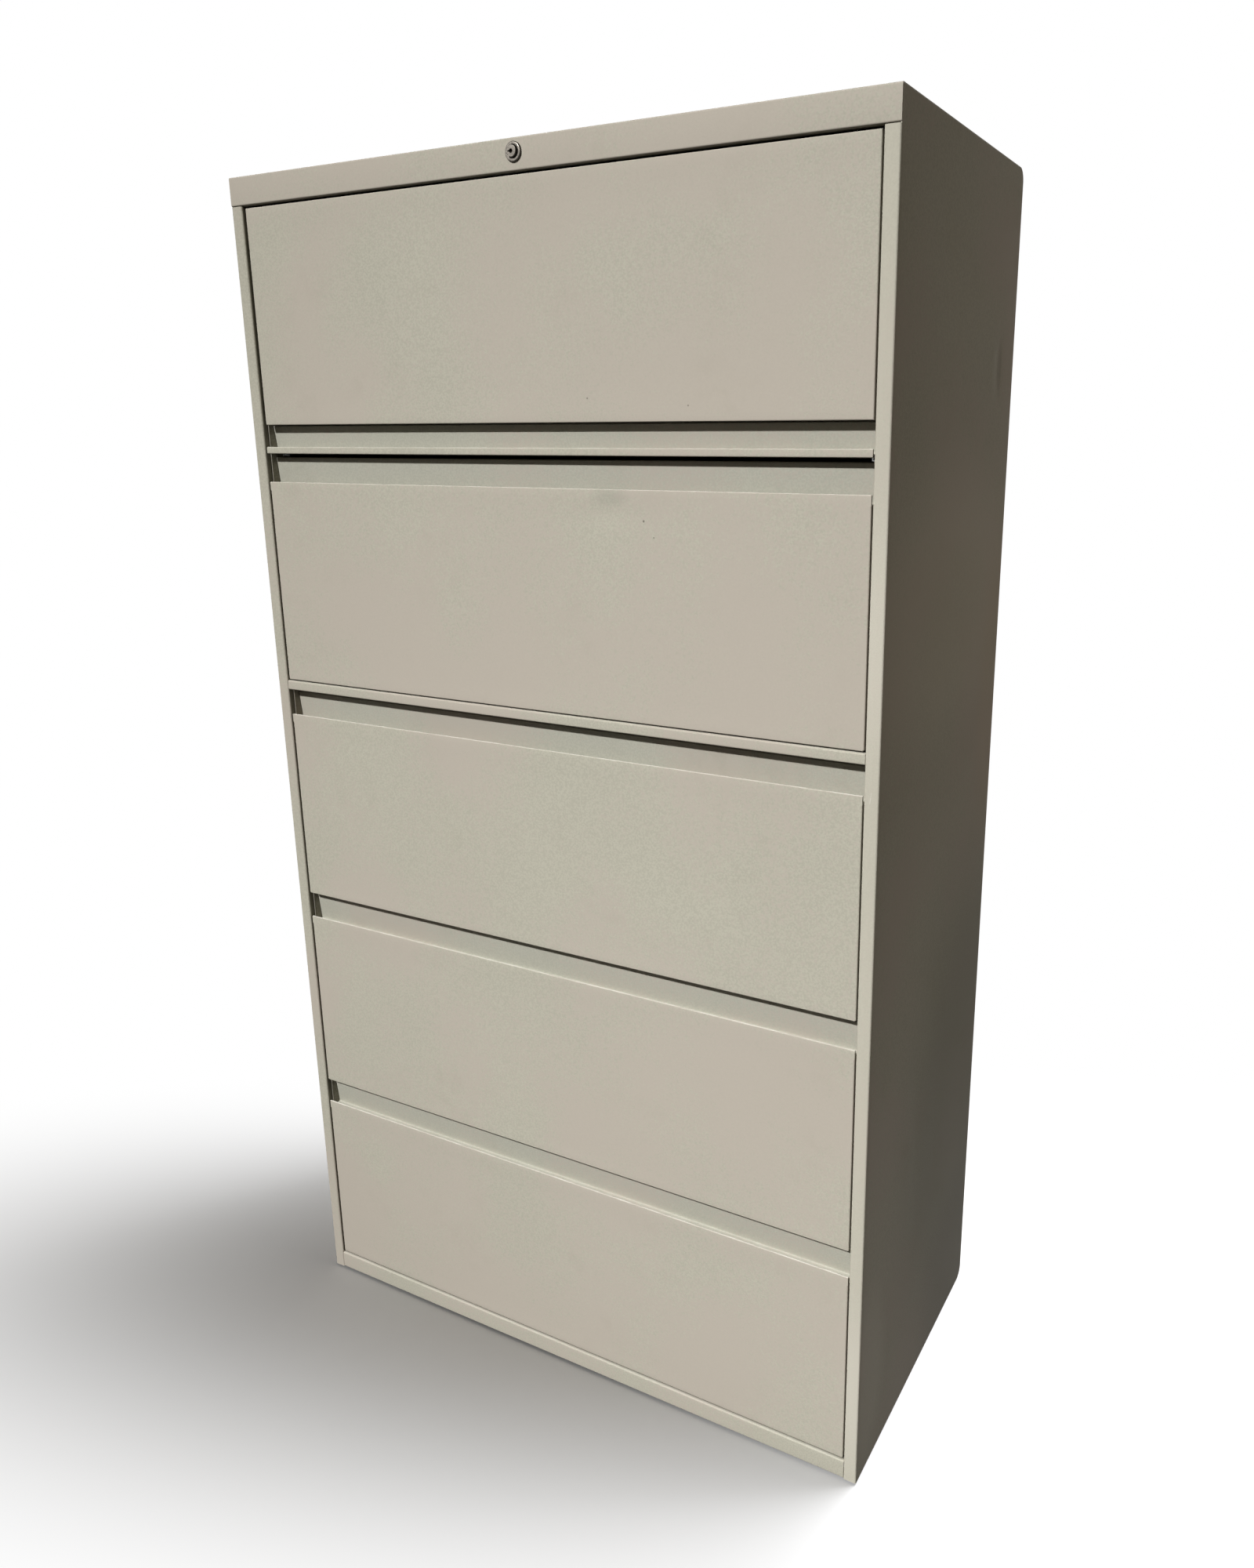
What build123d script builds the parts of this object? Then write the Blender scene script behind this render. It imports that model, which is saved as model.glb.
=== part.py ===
"""Five-high lateral filing cabinet in folded sheet steel.

Row one is a lift-up door that slides back over a roll-out shelf. Rows two to five are drawers with
full-width finger pulls. The frame has +X to the right, +Y to the back and +Z up, with its origin on
the floor under the middle of the case. Every length is in millimetres.
"""

import os
from math import pi, sin

from build123d import *

# ---------------------------------------------------------------- case
case_width = 914.4
case_depth = 457.2
case_height = 1645.0
floor_gap = 3.0  # lower edge of the case above the floor, with the glides screwed in
case_gauge = 1.2
fold = 2.2  # outside radius of a fold in the case sheet
rear_radius = 13.0  # rounded rear edges, top and bottom
seam = 0.6  # visible joint between two case sheets
rear_skirt = 40.0  # how far the top sheet comes down at the back
rear_foot = 30.0  # how far the back sheet runs forward under the case

stile_width = 17.5
stile_return = 9.5
stile_lip = 8.0

header_height = 35.0
header_return = 13.0
header_lip = 7.0

bottom_rail_height = 27.0
bottom_rail_foot = 16.0
bottom_rail_shelf = 22.0
bottom_rail_setback = 0.6

mid_rail_height = 13.5
mid_rail_depth = 20.0
mid_rail_setback = 1.0
mid_rail_gap = 1.5  # between the rail and the drawer over it

pan_top = 17.2
pan_front = 24.0

post_gauge = 1.5
post_face = 19.0  # inner face of a post, in from the outside of the case
post_outer = 2.8
post_width = 32.5
rear_post_gap = 26.7  # behind the rear posts
post_slot_width = 5.0
post_slot_height = 14.0
post_slot_pitch = 152.4

# ---------------------------------------------------------------- rows
drawer_count = 4
bottom_gap = 3.0  # between the bottom rail and the lowest drawer
face_height = 275.7  # drawer face up to its lip
head_rise = 30.8  # top of the pull over the lip
row_gap = 6.5  # between the top of a pull and the front over it
side_gap = 2.3  # between a drawer front and a stile
front_setback = 2.0
front_gauge = 1.0
front_fold = 1.6
front_return = 12.0  # fold behind the vertical edges of a drawer face

lip_thickness = 2.7
lip_bevel = 0.8
pocket_depth = 10.5
pocket_back = 21.5  # back of the finger pocket, behind the front of the case
head_setback = 17.5  # top of the slanted pull face, behind the front of the case
head_drop = 12.0
body_front = 25.0  # front wall of a tray, behind the front of the case

# ---------------------------------------------------------------- trays
tray_gauge = 1.0
tray_rear_gap = 27.2  # behind a tray
tray_floor = 8.0  # tray above the lower edge of its front
tray_side_height = 165.0
tray_head_gap = 6.5  # walls of a tray below the top of its pull
tray_hem = 9.0
floor_slot_length = 34.0
floor_slot_width = 4.0
floor_slot_count = 3

rail_gauge = 2.0
rail_drop = 42.0  # top edge of a hanging rail below the tray's walls
rail_reach = 9.0
rail_lip = 8.0
rail_leg = 22.0

# ---------------------------------------------------------------- slides
slide_gauge = 1.2
slide_run = 0.3  # running clearance between two slide members
slide_half = 19.0
slide_depth = 12.0
slide_lip = 4.0
slide_total = 14.0  # from the post to the tray
slide_front = 30.0
slide_rear_gap = 27.2  # behind a slide
middle_lag = 4.0  # middle member behind the front of the others
middle_short = 12.0  # and shorter than them
foot_width = 3.6
slide_level = 62.0  # middle of a slide over the lower edge of its drawer

# ---------------------------------------------------------------- shelf
shelf_strip = 9.0
shelf_pocket = 5.5
shelf_head = 35.0
shelf_slide_level = 15.0
shelf_floor = 3.0
shelf_side = 28.0

# ---------------------------------------------------------------- door
door_gap = 3.0  # round the door, between it and the stiles
door_top_gap = 2.8
door_bottom_gap = 2.5  # between the door and the shelf's pull
door_setback = 3.5
door_depth = 14.0
door_gauge = 1.0
door_fold = 1.6
door_return = 9.0
pivot_drop = 14.0  # hinge pin below the door's top edge
pivot_depth = 7.0  # hinge pin behind the door's face
pivot_radius = 3.0
pin_run = 0.08

track_half = 12.0
track_depth = 11.0
track_lip = 3.5
track_start = 38.0
track_rear_gap = 25.2
track_drop = 18.0  # middle of a track below the underside of the top
runner_total = 13.0
runner_length = 150.0
arm_gauge = 2.5
arm_width = 9.0
arm_neck = 20.0  # how far an arm drops below the hinge pin
arm_post = 43.0  # upright part of an arm, behind the front of the case
tie_across = 8.0
tie_gauge = 1.2
tie_inset = 10.0  # middle of the tie in front of the arms' rear ends

# ---------------------------------------------------------------- lock
lock_drop = 15.2  # middle of the lock below the top of the case
bezel_radius = 10.8
bezel_reach = 2.8
groove_radius = 8.2
groove_floor = 0.6
barrel_radius = 9.5
barrel_length = 24.0
plug_radius = 6.5
plug_reach = 5.8
plug_run = 0.08
plug_tail = 26.0
keyhole_radius = 1.9
keyhole_slot = 4.6
keyhole_width = 1.5
keyhole_depth = 9.0
plug_edge = 0.6
nut_across = 22.0
nut_height = 3.0
cam_gauge = 2.0
cam_tip_radius = 4.0
crank_radius = 6.0
crank_pin_radius = 2.0
rod_gauge = 2.0
rod_height = 17.0
rod_back = 28.4
rod_tail = 26.0
rod_passage = 2.0  # air round the rod where it enters a post
rod_margin = 8.5  # metal of the rod under its crank slot
pin_end = 1.0  # crank pins beyond the back of the rod
bar_gauge = 2.0
bar_width = 8.0
bar_back = 24.0
bar_foot = 60.0
bar_pin_edge = 0.5  # metal beside the bar's pin
bar_pin_rise = 4.5  # bar's pin over the rod's lower edge
bar_window = 24.0
slot_play = 0.5
guide_gauge = 1.5
guide_overlap = 4.5  # rod beyond the middle of its first bracket
guide_post_gap = 40.2  # middle of its last bracket to the post
guide_wall = 1.2  # metal left under the rod
guide_depth = 5.5  # metal in front of the rod and behind it
guide_window = 0.3

# ---------------------------------------------------------------- glides
glide_inset = 46.0
glide_front = 62.0
glide_rear_inset = 55.2
glide_foot_across = 34.0
glide_foot_height = 7.0
glide_foot_edge = 1.0
glide_stud_radius = 5.0
glide_stud_top = 36.0
glide_run = 0.08
driver_slot = 1.6
nut_collar = 17.0  # across the flats of a weld nut
nut_below = 5.0
nut_above = 8.0
nut_run = 0.3  # between a weld nut and its hole

# ---------------------------------------------------------------- places worked out from the sizes
half_width = case_width / 2
header_bottom = case_height - header_height
inner_top = case_height - case_gauge
drawer_half = half_width - stile_width - side_gap
head_height = face_height + head_rise  # drawer front up to the top of its pull
pitch = head_height + row_gap
tray_half = half_width - post_face - slide_total
tray_depth = case_depth - body_front - tray_rear_gap
tray_wall_height = head_height - tray_floor - tray_head_gap
rail_level = tray_wall_height - rail_drop
rear_post_start = case_depth - post_width - rear_post_gap
slide_length = case_depth - slide_front - slide_rear_gap
middle_start = slide_front + middle_lag
middle_length = slide_length - middle_short
track_length = case_depth - track_start - track_rear_gap
glide_rear = case_depth - glide_rear_inset
door_half = half_width - stile_width - door_gap
door_top = header_bottom - door_top_gap
pivot_z = door_top - pivot_drop
first_row = floor_gap + bottom_rail_height + bottom_gap
lock_z = case_height - lock_drop
track_z = inner_top - track_drop
crank_reach = crank_radius * sin(pi / 4)


def right(inset):
    """X of a point that lies inset from the outside of the right-hand side."""
    return half_width - inset


def back(depth):
    """Y of a point that lies depth behind the front of the case."""
    return depth - case_depth / 2


def row_bottom(row):
    """Lower edge of a row's front, counted from the floor up; the fixed rail lies over row two."""
    rail_space = mid_rail_height if row >= drawer_count - 1 else 0.0
    return first_row + row * pitch + rail_space


shelf_bottom = row_bottom(drawer_count)
door_bottom = shelf_bottom + shelf_head + door_bottom_gap
mid_rail_bottom = row_bottom(drawer_count - 1) - mid_rail_gap - mid_rail_height
slide_levels = [row_bottom(row) + slide_level for row in range(drawer_count)]
slide_levels.append(shelf_bottom + shelf_slide_level)


def folded(points, gauge, radius, side=Side.RIGHT):
    """Section of a folded sheet: a path along one face, with the metal to one side of it.

    A bend that is out of sight, or too tight to need a radius, has a radius of 0.
    """
    with BuildSketch() as section:
        with BuildLine():
            FilletPolyline(*points, radius=radius)
            offset(amount=gauge, side=side, kind=Kind.INTERSECTION)
        make_face()
    return section.sketch


def rolled(points, gauge, side=Side.LEFT):
    """Section of a thin rolled strip, whose bends all have a radius of 0."""
    return folded(points, gauge, 0, side)


def block(x_range, y_range, z_range, mode=Mode.ADD):
    """A plain rectangular piece of metal, or of air, between three pairs of limits."""
    middle = [(low + high) / 2 for low, high in (x_range, y_range, z_range)]
    size = [high - low for low, high in (x_range, y_range, z_range)]
    with Locations(tuple(middle)):
        Box(*size, mode=mode)


def across(depth):
    """Plane that faces the front, at a depth behind the front of the case."""
    return Plane.XZ.offset(-back(depth))


def save(builder, name):
    """Labels a finished piece and writes it."""
    builder.part.label = name
    export_step(builder.part, f"parts/{name}.step")


# ================================================================ case
def make_side(name, mirrored):
    """Side sheet with the front stile folded from it and flanges for the top and the back."""
    stile_top = header_bottom - seam
    rear_inside = case_depth - case_gauge
    flange = 15.0
    flange_end = rear_radius + 4.0
    foot_step = case_depth - rear_foot - seam
    with BuildPart() as side:
        with BuildSketch(Plane.XY.offset(floor_gap)):
            add(
                folded(
                    [
                        (right(stile_width - stile_lip), back(stile_return)),
                        (right(stile_width), back(stile_return)),
                        (right(stile_width), back(0)),
                        (right(0), back(0)),
                        (right(0), back(4 * stile_return)),
                    ],
                    case_gauge,
                    [0, fold, fold],
                    Side.LEFT,
                )
            )
        extrude(amount=stile_top - floor_gap)
        with BuildSketch(Plane.YZ.offset(right(case_gauge))):
            with BuildLine():
                Polyline(
                    (back(2 * stile_return), floor_gap),
                    (back(foot_step), floor_gap),
                    (back(foot_step), floor_gap + case_gauge),
                    (back(rear_inside), floor_gap + case_gauge),
                    (back(rear_inside), inner_top),
                    (back(case_gauge), inner_top),
                    (back(case_gauge), stile_top),
                    (back(2 * stile_return), stile_top),
                    close=True,
                )
            make_face()
            fillet(vertices().group_by(Axis.X)[-1], radius=rear_radius - case_gauge)
        extrude(amount=case_gauge)
        block(
            (right(flange), right(case_gauge / 2)),
            (back(rear_inside - case_gauge), back(rear_inside)),
            (floor_gap + flange_end, inner_top - flange_end),
        )
        block(
            (right(flange), right(case_gauge / 2)),
            (back(post_width), back(rear_inside - flange_end)),
            (inner_top - case_gauge, inner_top),
        )
        if mirrored:
            mirror(about=Plane.YZ, mode=Mode.REPLACE)
    save(side, name)


def make_top_cap():
    """Top sheet with the header folded down at the front and a rounded skirt at the back."""
    section = [
        (back(header_return), header_bottom + header_lip),
        (back(header_return), header_bottom),
        (back(0), header_bottom),
        (back(0), case_height),
        (back(case_depth), case_height),
        (back(case_depth), case_height - rear_skirt),
    ]
    with BuildPart() as cap:
        with BuildSketch(Plane.YZ.offset(-half_width)):
            add(folded(section, case_gauge, [0, fold, fold, rear_radius]))
        extrude(amount=case_width)
        for side in (-1, 1):
            block(
                sorted((side * half_width, side * right(case_gauge))),
                (back(case_gauge), back(header_return + seam)),
                (header_bottom - seam, inner_top),
                mode=Mode.SUBTRACT,
            )
        with Locations(Plane((0, back(0), lock_z), z_dir=(0, -1, 0))):
            Hole(radius=barrel_radius + slide_run, depth=2 * case_gauge)
    save(cap, "top_cap")


def make_back_panel():
    """Back sheet, rounded under the case, with pressed stiffening beads."""
    bead_width = 16.0
    bead_depth = 3.0
    section = [
        (back(case_depth), case_height - rear_skirt - seam),
        (back(case_depth), floor_gap),
        (back(case_depth - rear_foot), floor_gap),
    ]
    trough = [
        (-bead_width, 0),
        (-bead_width / 2, -bead_depth),
        (bead_width / 2, -bead_depth),
        (bead_width, 0),
    ]
    bead = [(x, y - case_gauge) for x, y in trough] + [trough[-1], trough[0]]
    low = floor_gap + 4 * rear_radius
    high = case_height - rear_skirt - 3 * rear_radius
    passes = (
        (bead, low, high, Mode.ADD),
        (trough, low + case_gauge, high - case_gauge, Mode.SUBTRACT),
    )
    with BuildPart() as panel:
        with BuildSketch(Plane.YZ.offset(-half_width)):
            add(folded(section, case_gauge, rear_radius))
        extrude(amount=case_width)
        for step in (-1, 0, 1):
            middle = step * case_width / 4
            for outline, start, end, mode in passes:
                with BuildSketch(Plane.XY.offset(start)):
                    with BuildLine():
                        Polyline(
                            *[(middle + x, back(case_depth) + y) for x, y in outline],
                            close=True,
                        )
                    make_face()
                extrude(amount=end - start, mode=mode)
    save(panel, "back_panel")


def make_base_pan():
    """Raised floor of the case: a sheet with skirts, pierced for the glides."""
    skirt_foot = floor_gap + case_gauge
    end = case_depth - rear_radius - seam
    with BuildPart() as pan:
        block(
            (-right(case_gauge), right(case_gauge)),
            (back(pan_front), back(end)),
            (skirt_foot, pan_top),
        )
        offset(
            amount=-case_gauge,
            openings=faces().sort_by(Axis.Z)[0],
            kind=Kind.INTERSECTION,
        )
        with BuildSketch(Plane.XY.offset(pan_top - case_gauge)):
            for _, x, y in glide_places():
                with Locations((x, y)):
                    RegularPolygon(nut_collar / 2 + nut_run, 6, major_radius=False)
        extrude(amount=case_gauge, mode=Mode.SUBTRACT)
    save(pan, "base_pan")


def make_rail(name, low, height, setback, foot, top_run):
    """Fixed cross rail: a channel that faces the front, notched at its ends for the posts."""
    end = stile_width + guide_window
    section = [
        (back(setback + foot), low),
        (back(setback), low),
        (back(setback), low + height),
        (back(setback + top_run), low + height),
    ]
    with BuildPart() as rail:
        with BuildSketch(Plane.YZ.offset(-right(end))):
            add(folded(section, case_gauge, fold))
        extrude(amount=2 * right(end))
        for side in (-1, 1):
            limits = sorted((side * right(post_face), side * right(0)))
            block(
                limits,
                (back(stile_return - case_gauge), back(2 * pan_front)),
                (max(low - 1, pan_top), low + height + 1),
                mode=Mode.SUBTRACT,
            )
    save(rail, name)


def make_posts(name, start, width):
    """Pair of slotted uprights that carry the slides."""
    section = [
        (right(post_outer), back(start)),
        (right(post_face), back(start)),
        (right(post_face), back(start + width)),
        (right(post_outer), back(start + width)),
    ]
    top = inner_top - case_gauge
    slots = int((header_bottom - pan_top) / post_slot_pitch) - 1
    with BuildPart() as posts:
        with BuildSketch(Plane.XY.offset(pan_top)):
            add(rolled(section, post_gauge, Side.RIGHT))
        extrude(amount=top - pan_top)
        with BuildSketch(Plane.YZ.offset(right(post_face + post_gauge))):
            with Locations((back(start + width / 2), (pan_top + header_bottom) / 2)):
                with GridLocations(1, post_slot_pitch, 1, slots):
                    Rectangle(post_slot_width, post_slot_height)
        extrude(amount=3 * post_gauge, mode=Mode.SUBTRACT)
        if start < case_depth / 2:
            block(
                (right(2 * post_face), right(0)),
                (back(0), back(header_return + guide_window)),
                (header_bottom - seam, case_height),
                mode=Mode.SUBTRACT,
            )
            block(
                (right(2 * post_face), right(post_face - 2 * post_gauge)),
                (back(rod_back - rod_passage), back(rod_back + rod_gauge + rod_passage)),
                (rod_bottom - rod_passage, rod_bottom + rod_height + rod_passage),
                mode=Mode.SUBTRACT,
            )
        mirror(about=Plane.YZ)
    save(posts, name)


# ================================================================ slides
def slide_plan(points, level):
    """Points of a slide's section, given by reach from the post and height over its middle."""
    return [(right(post_face + reach), level + height) for reach, height in points]


def channel(level, start, depth, half, lip):
    """Section of a lipped channel that opens towards the middle of the case."""
    outline = [
        (start + depth, lip - half),
        (start + depth, -half),
        (start, -half),
        (start, half),
        (start + depth, half),
        (start + depth, half - lip),
    ]
    return rolled(slide_plan(outline, level), slide_gauge)


def hat(level, start, reach, half, total):
    """Section of a hat: two hooked feet that run in a channel, and a web that carries the load."""
    leg = half - foot_width
    web = total - slide_gauge
    outline = [
        (start + reach, -half),
        (start, -half),
        (start, -leg),
        (web, -leg),
        (web, leg),
        (start, leg),
        (start, half),
        (start + reach, half),
    ]
    return rolled(slide_plan(outline, level), slide_gauge)


def make_members(name, levels, section, start, length):
    """Slide members of one kind, a pair at each level."""
    with BuildPart() as members:
        for level in levels:
            with BuildSketch(across(start + length)):
                add(section(level))
            extrude(amount=length)
        mirror(about=Plane.YZ)
    save(members, name)


def outer_section(level):
    """Cabinet member: the widest channel, flat on the posts."""
    return channel(level, 0, slide_depth, slide_half, slide_lip)


def middle_section(level):
    """Middle member: a channel that runs inside the cabinet member."""
    start = slide_gauge + slide_run
    depth = slide_depth - 2 * start
    return channel(level, start, depth, slide_half - start, slide_lip - slide_run)


def inner_section(level):
    """Drawer member: a hat that runs inside the middle member."""
    start = 2 * (slide_gauge + slide_run)
    reach = slide_depth - 2 * start
    return hat(level, start, reach, slide_half - start, slide_total)


def track_section(level):
    """Fixed track of the door's carriage."""
    return channel(level, 0, track_depth, track_half, track_lip)


def runner_section(level):
    """Runner of the door's carriage."""
    start = slide_gauge + slide_run
    return hat(level, start, track_depth - 2 * start, track_half - start, runner_total)


# ================================================================ drawers and shelf
def lip_section(top, pocket):
    """Section of a hemmed lip: up the face, over with bevelled corners, down to the pocket."""
    lip_back = front_setback + lip_thickness
    foot = top - pocket - front_gauge
    points = [
        (back(front_setback), foot),
        (back(front_setback), top - lip_bevel),
        (back(front_setback + lip_bevel), top),
        (back(lip_back - lip_bevel), top),
        (back(lip_back), top - lip_bevel),
        (back(lip_back), foot),
    ]
    return rolled(points, front_gauge, Side.RIGHT)


def make_drawer_front(name, low):
    """Front skin of a drawer: flanged below and at its sides, hemmed at its lip."""
    top = low + face_height
    flange_top = top - pocket_depth - front_gauge
    skin = [
        (back(body_front), low + head_drop),
        (back(body_front), low),
        (back(front_setback), low),
        (back(front_setback), top - lip_thickness),
    ]
    inset = drawer_half - front_fold
    edge = [
        (drawer_half, back(front_setback + front_return)),
        (drawer_half, back(front_setback)),
        (drawer_half - 2 * front_return, back(front_setback)),
    ]
    with BuildPart() as front:
        with BuildSketch(Plane.YZ.offset(-inset)):
            add(folded(skin, front_gauge, [0, front_fold]))
        extrude(amount=2 * inset)
        with BuildSketch(Plane.YZ.offset(-drawer_half)):
            add(lip_section(top, pocket_depth))
        extrude(amount=2 * drawer_half)
        with BuildSketch(Plane.XY.offset(low + front_fold)):
            add(folded(edge, front_gauge, front_fold))
            mirror(about=Plane.YZ)
        extrude(amount=flange_top - low - front_fold)
    save(front, name)


def make_shelf_front():
    """Front skin of the shelf: a narrow strip with a hemmed lip and a flange under the tray."""
    top = shelf_bottom + shelf_strip
    skin = [
        (back(body_front), shelf_bottom),
        (back(front_setback), shelf_bottom),
        (back(front_setback), top - lip_thickness),
    ]
    with BuildPart() as front:
        with BuildSketch(Plane.YZ.offset(-drawer_half)):
            add(folded(skin, front_gauge, front_fold))
        extrude(amount=2 * drawer_half)
        with BuildSketch(Plane.YZ.offset(-drawer_half)):
            add(lip_section(top, shelf_pocket))
        extrude(amount=2 * drawer_half)
    save(front, "shelf_front")


def pull_points(low, face, head, pocket):
    """Path of the finger pull: pocket floor, slanted face, top flange and rear leg."""
    floor = low + face - pocket
    return [
        (back(front_setback + lip_thickness), floor),
        (back(pocket_back), floor),
        (back(head_setback), low + head),
        (back(body_front), low + head),
        (back(body_front), low + head - head_drop),
    ]


def make_pull(name, low, face, head, pocket):
    """Full-width finger pull behind and over a face's lip."""
    with BuildPart() as pull:
        with BuildSketch(Plane.YZ.offset(-drawer_half)):
            bends = [front_fold, front_fold, 0]
            add(folded(pull_points(low, face, head, pocket), front_gauge, bends))
        extrude(amount=2 * drawer_half)
    save(pull, name)


def make_tray(name, low, floor, side_height, wall_height):
    """Folded tray: low sides with hems, tall front and back walls, slots for dividers."""
    base = low + floor
    depth_range = (back(body_front), back(body_front + tray_depth))
    inner_depth = (depth_range[0] + tray_gauge, depth_range[1] - tray_gauge)
    with BuildPart() as tray:
        block((-tray_half, tray_half), depth_range, (base, base + wall_height))
        offset(
            amount=-tray_gauge,
            openings=faces().sort_by(Axis.Z)[-1],
            kind=Kind.INTERSECTION,
        )
        if wall_height > side_height:
            block(
                (-tray_half - 1, tray_half + 1),
                inner_depth,
                (base + side_height, base + wall_height + 1),
                mode=Mode.SUBTRACT,
            )
            for side in (-1, 1):
                limits = sorted((side * tray_half, side * (tray_half - tray_hem)))
                block(
                    limits,
                    inner_depth,
                    (base + side_height - tray_gauge, base + side_height),
                )
        with BuildSketch(Plane.XY.offset(base)):
            step = 2 * tray_half / (floor_slot_count + 1)
            with Locations((0, sum(depth_range) / 2)):
                with GridLocations(step, tray_depth / 2, floor_slot_count, 2):
                    Rectangle(floor_slot_width, floor_slot_length)
        extrude(amount=tray_gauge, mode=Mode.SUBTRACT)
    save(tray, name)


def make_hanging_rails(name, low):
    """Front and back rails that hanging folders hook on."""
    top = low + tray_floor + rail_level
    wall_faces = (body_front + tray_gauge, body_front + tray_depth - tray_gauge)
    end = tray_half - 3 * tray_gauge
    with BuildPart() as rails:
        for wall, way, side in zip(wall_faces, (1, -1), (Side.RIGHT, Side.LEFT)):
            section = [
                (back(wall), top - rail_lip - rail_leg),
                (back(wall), top - rail_lip),
                (back(wall + way * rail_reach), top - rail_lip),
                (back(wall + way * rail_reach), top),
            ]
            with BuildSketch(Plane.YZ.offset(-end)):
                add(rolled(section, rail_gauge, side))
            extrude(amount=2 * end)
    save(rails, name)


# ================================================================ door
def make_door():
    """Lift-up door: a pan with folded edges, open at the back."""
    depth_range = (back(door_setback), back(door_setback + door_depth))
    with BuildPart() as door:
        block((-door_half, door_half), depth_range, (door_bottom, door_top))
        front_face = faces().sort_by(Axis.Y)[0]
        fillet(front_face.edges(), radius=door_fold)
        block(
            (door_gauge - door_half, door_half - door_gauge),
            (depth_range[0] + door_gauge, depth_range[1] + door_gauge),
            (door_bottom + door_gauge, door_top - door_gauge),
            mode=Mode.SUBTRACT,
        )
        rim = (depth_range[1] - door_gauge, depth_range[1])
        for side in (-1, 1):
            limits = sorted((side * door_half, side * (door_half - door_return)))
            block(limits, rim, (door_bottom + door_gauge, door_top - 2 * pivot_drop))
        block(
            (-door_half, door_half),
            rim,
            (door_bottom, door_bottom + door_return),
        )
    save(door, "door_panel")


arm_inset = post_face + runner_total  # outer face of an arm
pin_depth = door_setback + pivot_depth


def make_door_hinges():
    """Hinge brackets inside the door's top corners, each with its pin."""
    reach = 14.0
    skin = back(door_setback + door_gauge)
    gap = 0.4
    ear = 2.0
    with BuildPart() as hinges:
        inner = arm_inset + arm_gauge + gap
        block(
            (right(inner + ear), right(inner)),
            (skin, back(door_setback + door_depth - 2)),
            (pivot_z - reach, pivot_z + pivot_drop - door_gauge - 1),
        )
        block(
            (right(inner + reach), right(inner)),
            (skin, skin + ear),
            (pivot_z - reach, pivot_z + pivot_drop - door_gauge - 1),
        )
        with Locations(Plane((right(inner), back(pin_depth), pivot_z), z_dir=(1, 0, 0))):
            Cylinder(
                pivot_radius,
                arm_gauge + 3 * gap,
                align=(Align.CENTER, Align.CENTER, Align.MIN),
            )
        mirror(about=Plane.YZ)
    save(hinges, "door_hinges")


def make_carriage_arms():
    """Goose-neck arms from the runners round the door's edge to the hinge pins."""
    edge = arm_width / 2
    low = pivot_z - arm_neck - edge
    outline = [
        (back(pin_depth - edge), pivot_z),
        (back(pin_depth - edge), low),
        (back(arm_post + edge), low),
        (back(arm_post + edge), track_z - edge),
        (back(arm_post + runner_length / 2), track_z - edge),
    ]
    with BuildPart() as arms:
        with BuildSketch(Plane.YZ.offset(right(arm_inset + arm_gauge))):
            add(rolled(outline, arm_width))
            with Locations((back(pin_depth), pivot_z)):
                Circle(edge)
        extrude(amount=arm_gauge)
        with Locations(
            Plane((right(arm_inset), back(pin_depth), pivot_z), z_dir=(1, 0, 0))
        ):
            Hole(radius=pivot_radius + pin_run, depth=2 * arm_gauge)
        mirror(about=Plane.YZ)
    save(arms, "carriage_arms")


def make_carriage_tie():
    """Cross tube that keeps the two runners level with each other."""
    span = right(arm_inset + arm_gauge)
    with BuildPart() as tie:
        with BuildSketch(Plane.YZ.offset(-span)):
            with Locations((back(arm_post + runner_length / 2 - tie_inset), track_z)):
                Rectangle(tie_across, tie_across)
                bore = tie_across - 2 * tie_gauge
                Rectangle(bore, bore, mode=Mode.SUBTRACT)
        extrude(amount=2 * span)
    save(tie, "carriage_tie")


# ================================================================ lock
rod_bottom = lock_z - crank_reach - crank_pin_radius - rod_margin
bar_start = right(post_face - post_gauge - guide_window)
bar_pin_x = bar_start + crank_pin_radius + bar_pin_edge
bar_pin_z = rod_bottom + bar_pin_rise
pin_reach = rod_back + rod_gauge + pin_end


def make_lock_barrel():
    """Fixed housing of the lock, with its bezel and groove."""
    bore = plug_radius + plug_run
    profile = [
        (bore, back(-groove_floor)),
        (groove_radius, back(-groove_floor)),
        (groove_radius, back(-bezel_reach)),
        (bezel_radius, back(-bezel_reach)),
        (bezel_radius, back(0)),
        (barrel_radius, back(0)),
        (barrel_radius, back(barrel_length)),
        (bore, back(barrel_length)),
    ]
    with BuildPart() as barrel:
        with BuildSketch(Plane.XY.offset(lock_z)):
            with BuildLine():
                Polyline(*profile, close=True)
            make_face()
        revolve(axis=Axis((0, 0, lock_z), (0, 1, 0)))
    save(barrel, "lock_barrel")


def make_lock_nut():
    """Nut that clamps the barrel in the header."""
    with BuildPart() as nut:
        with BuildSketch(across(case_gauge + nut_height)):
            with Locations((0, lock_z)):
                RegularPolygon(radius=nut_across / 2, side_count=6, major_radius=False)
                Circle(barrel_radius, mode=Mode.SUBTRACT)
        extrude(amount=nut_height)
    save(nut, "lock_nut")


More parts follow.
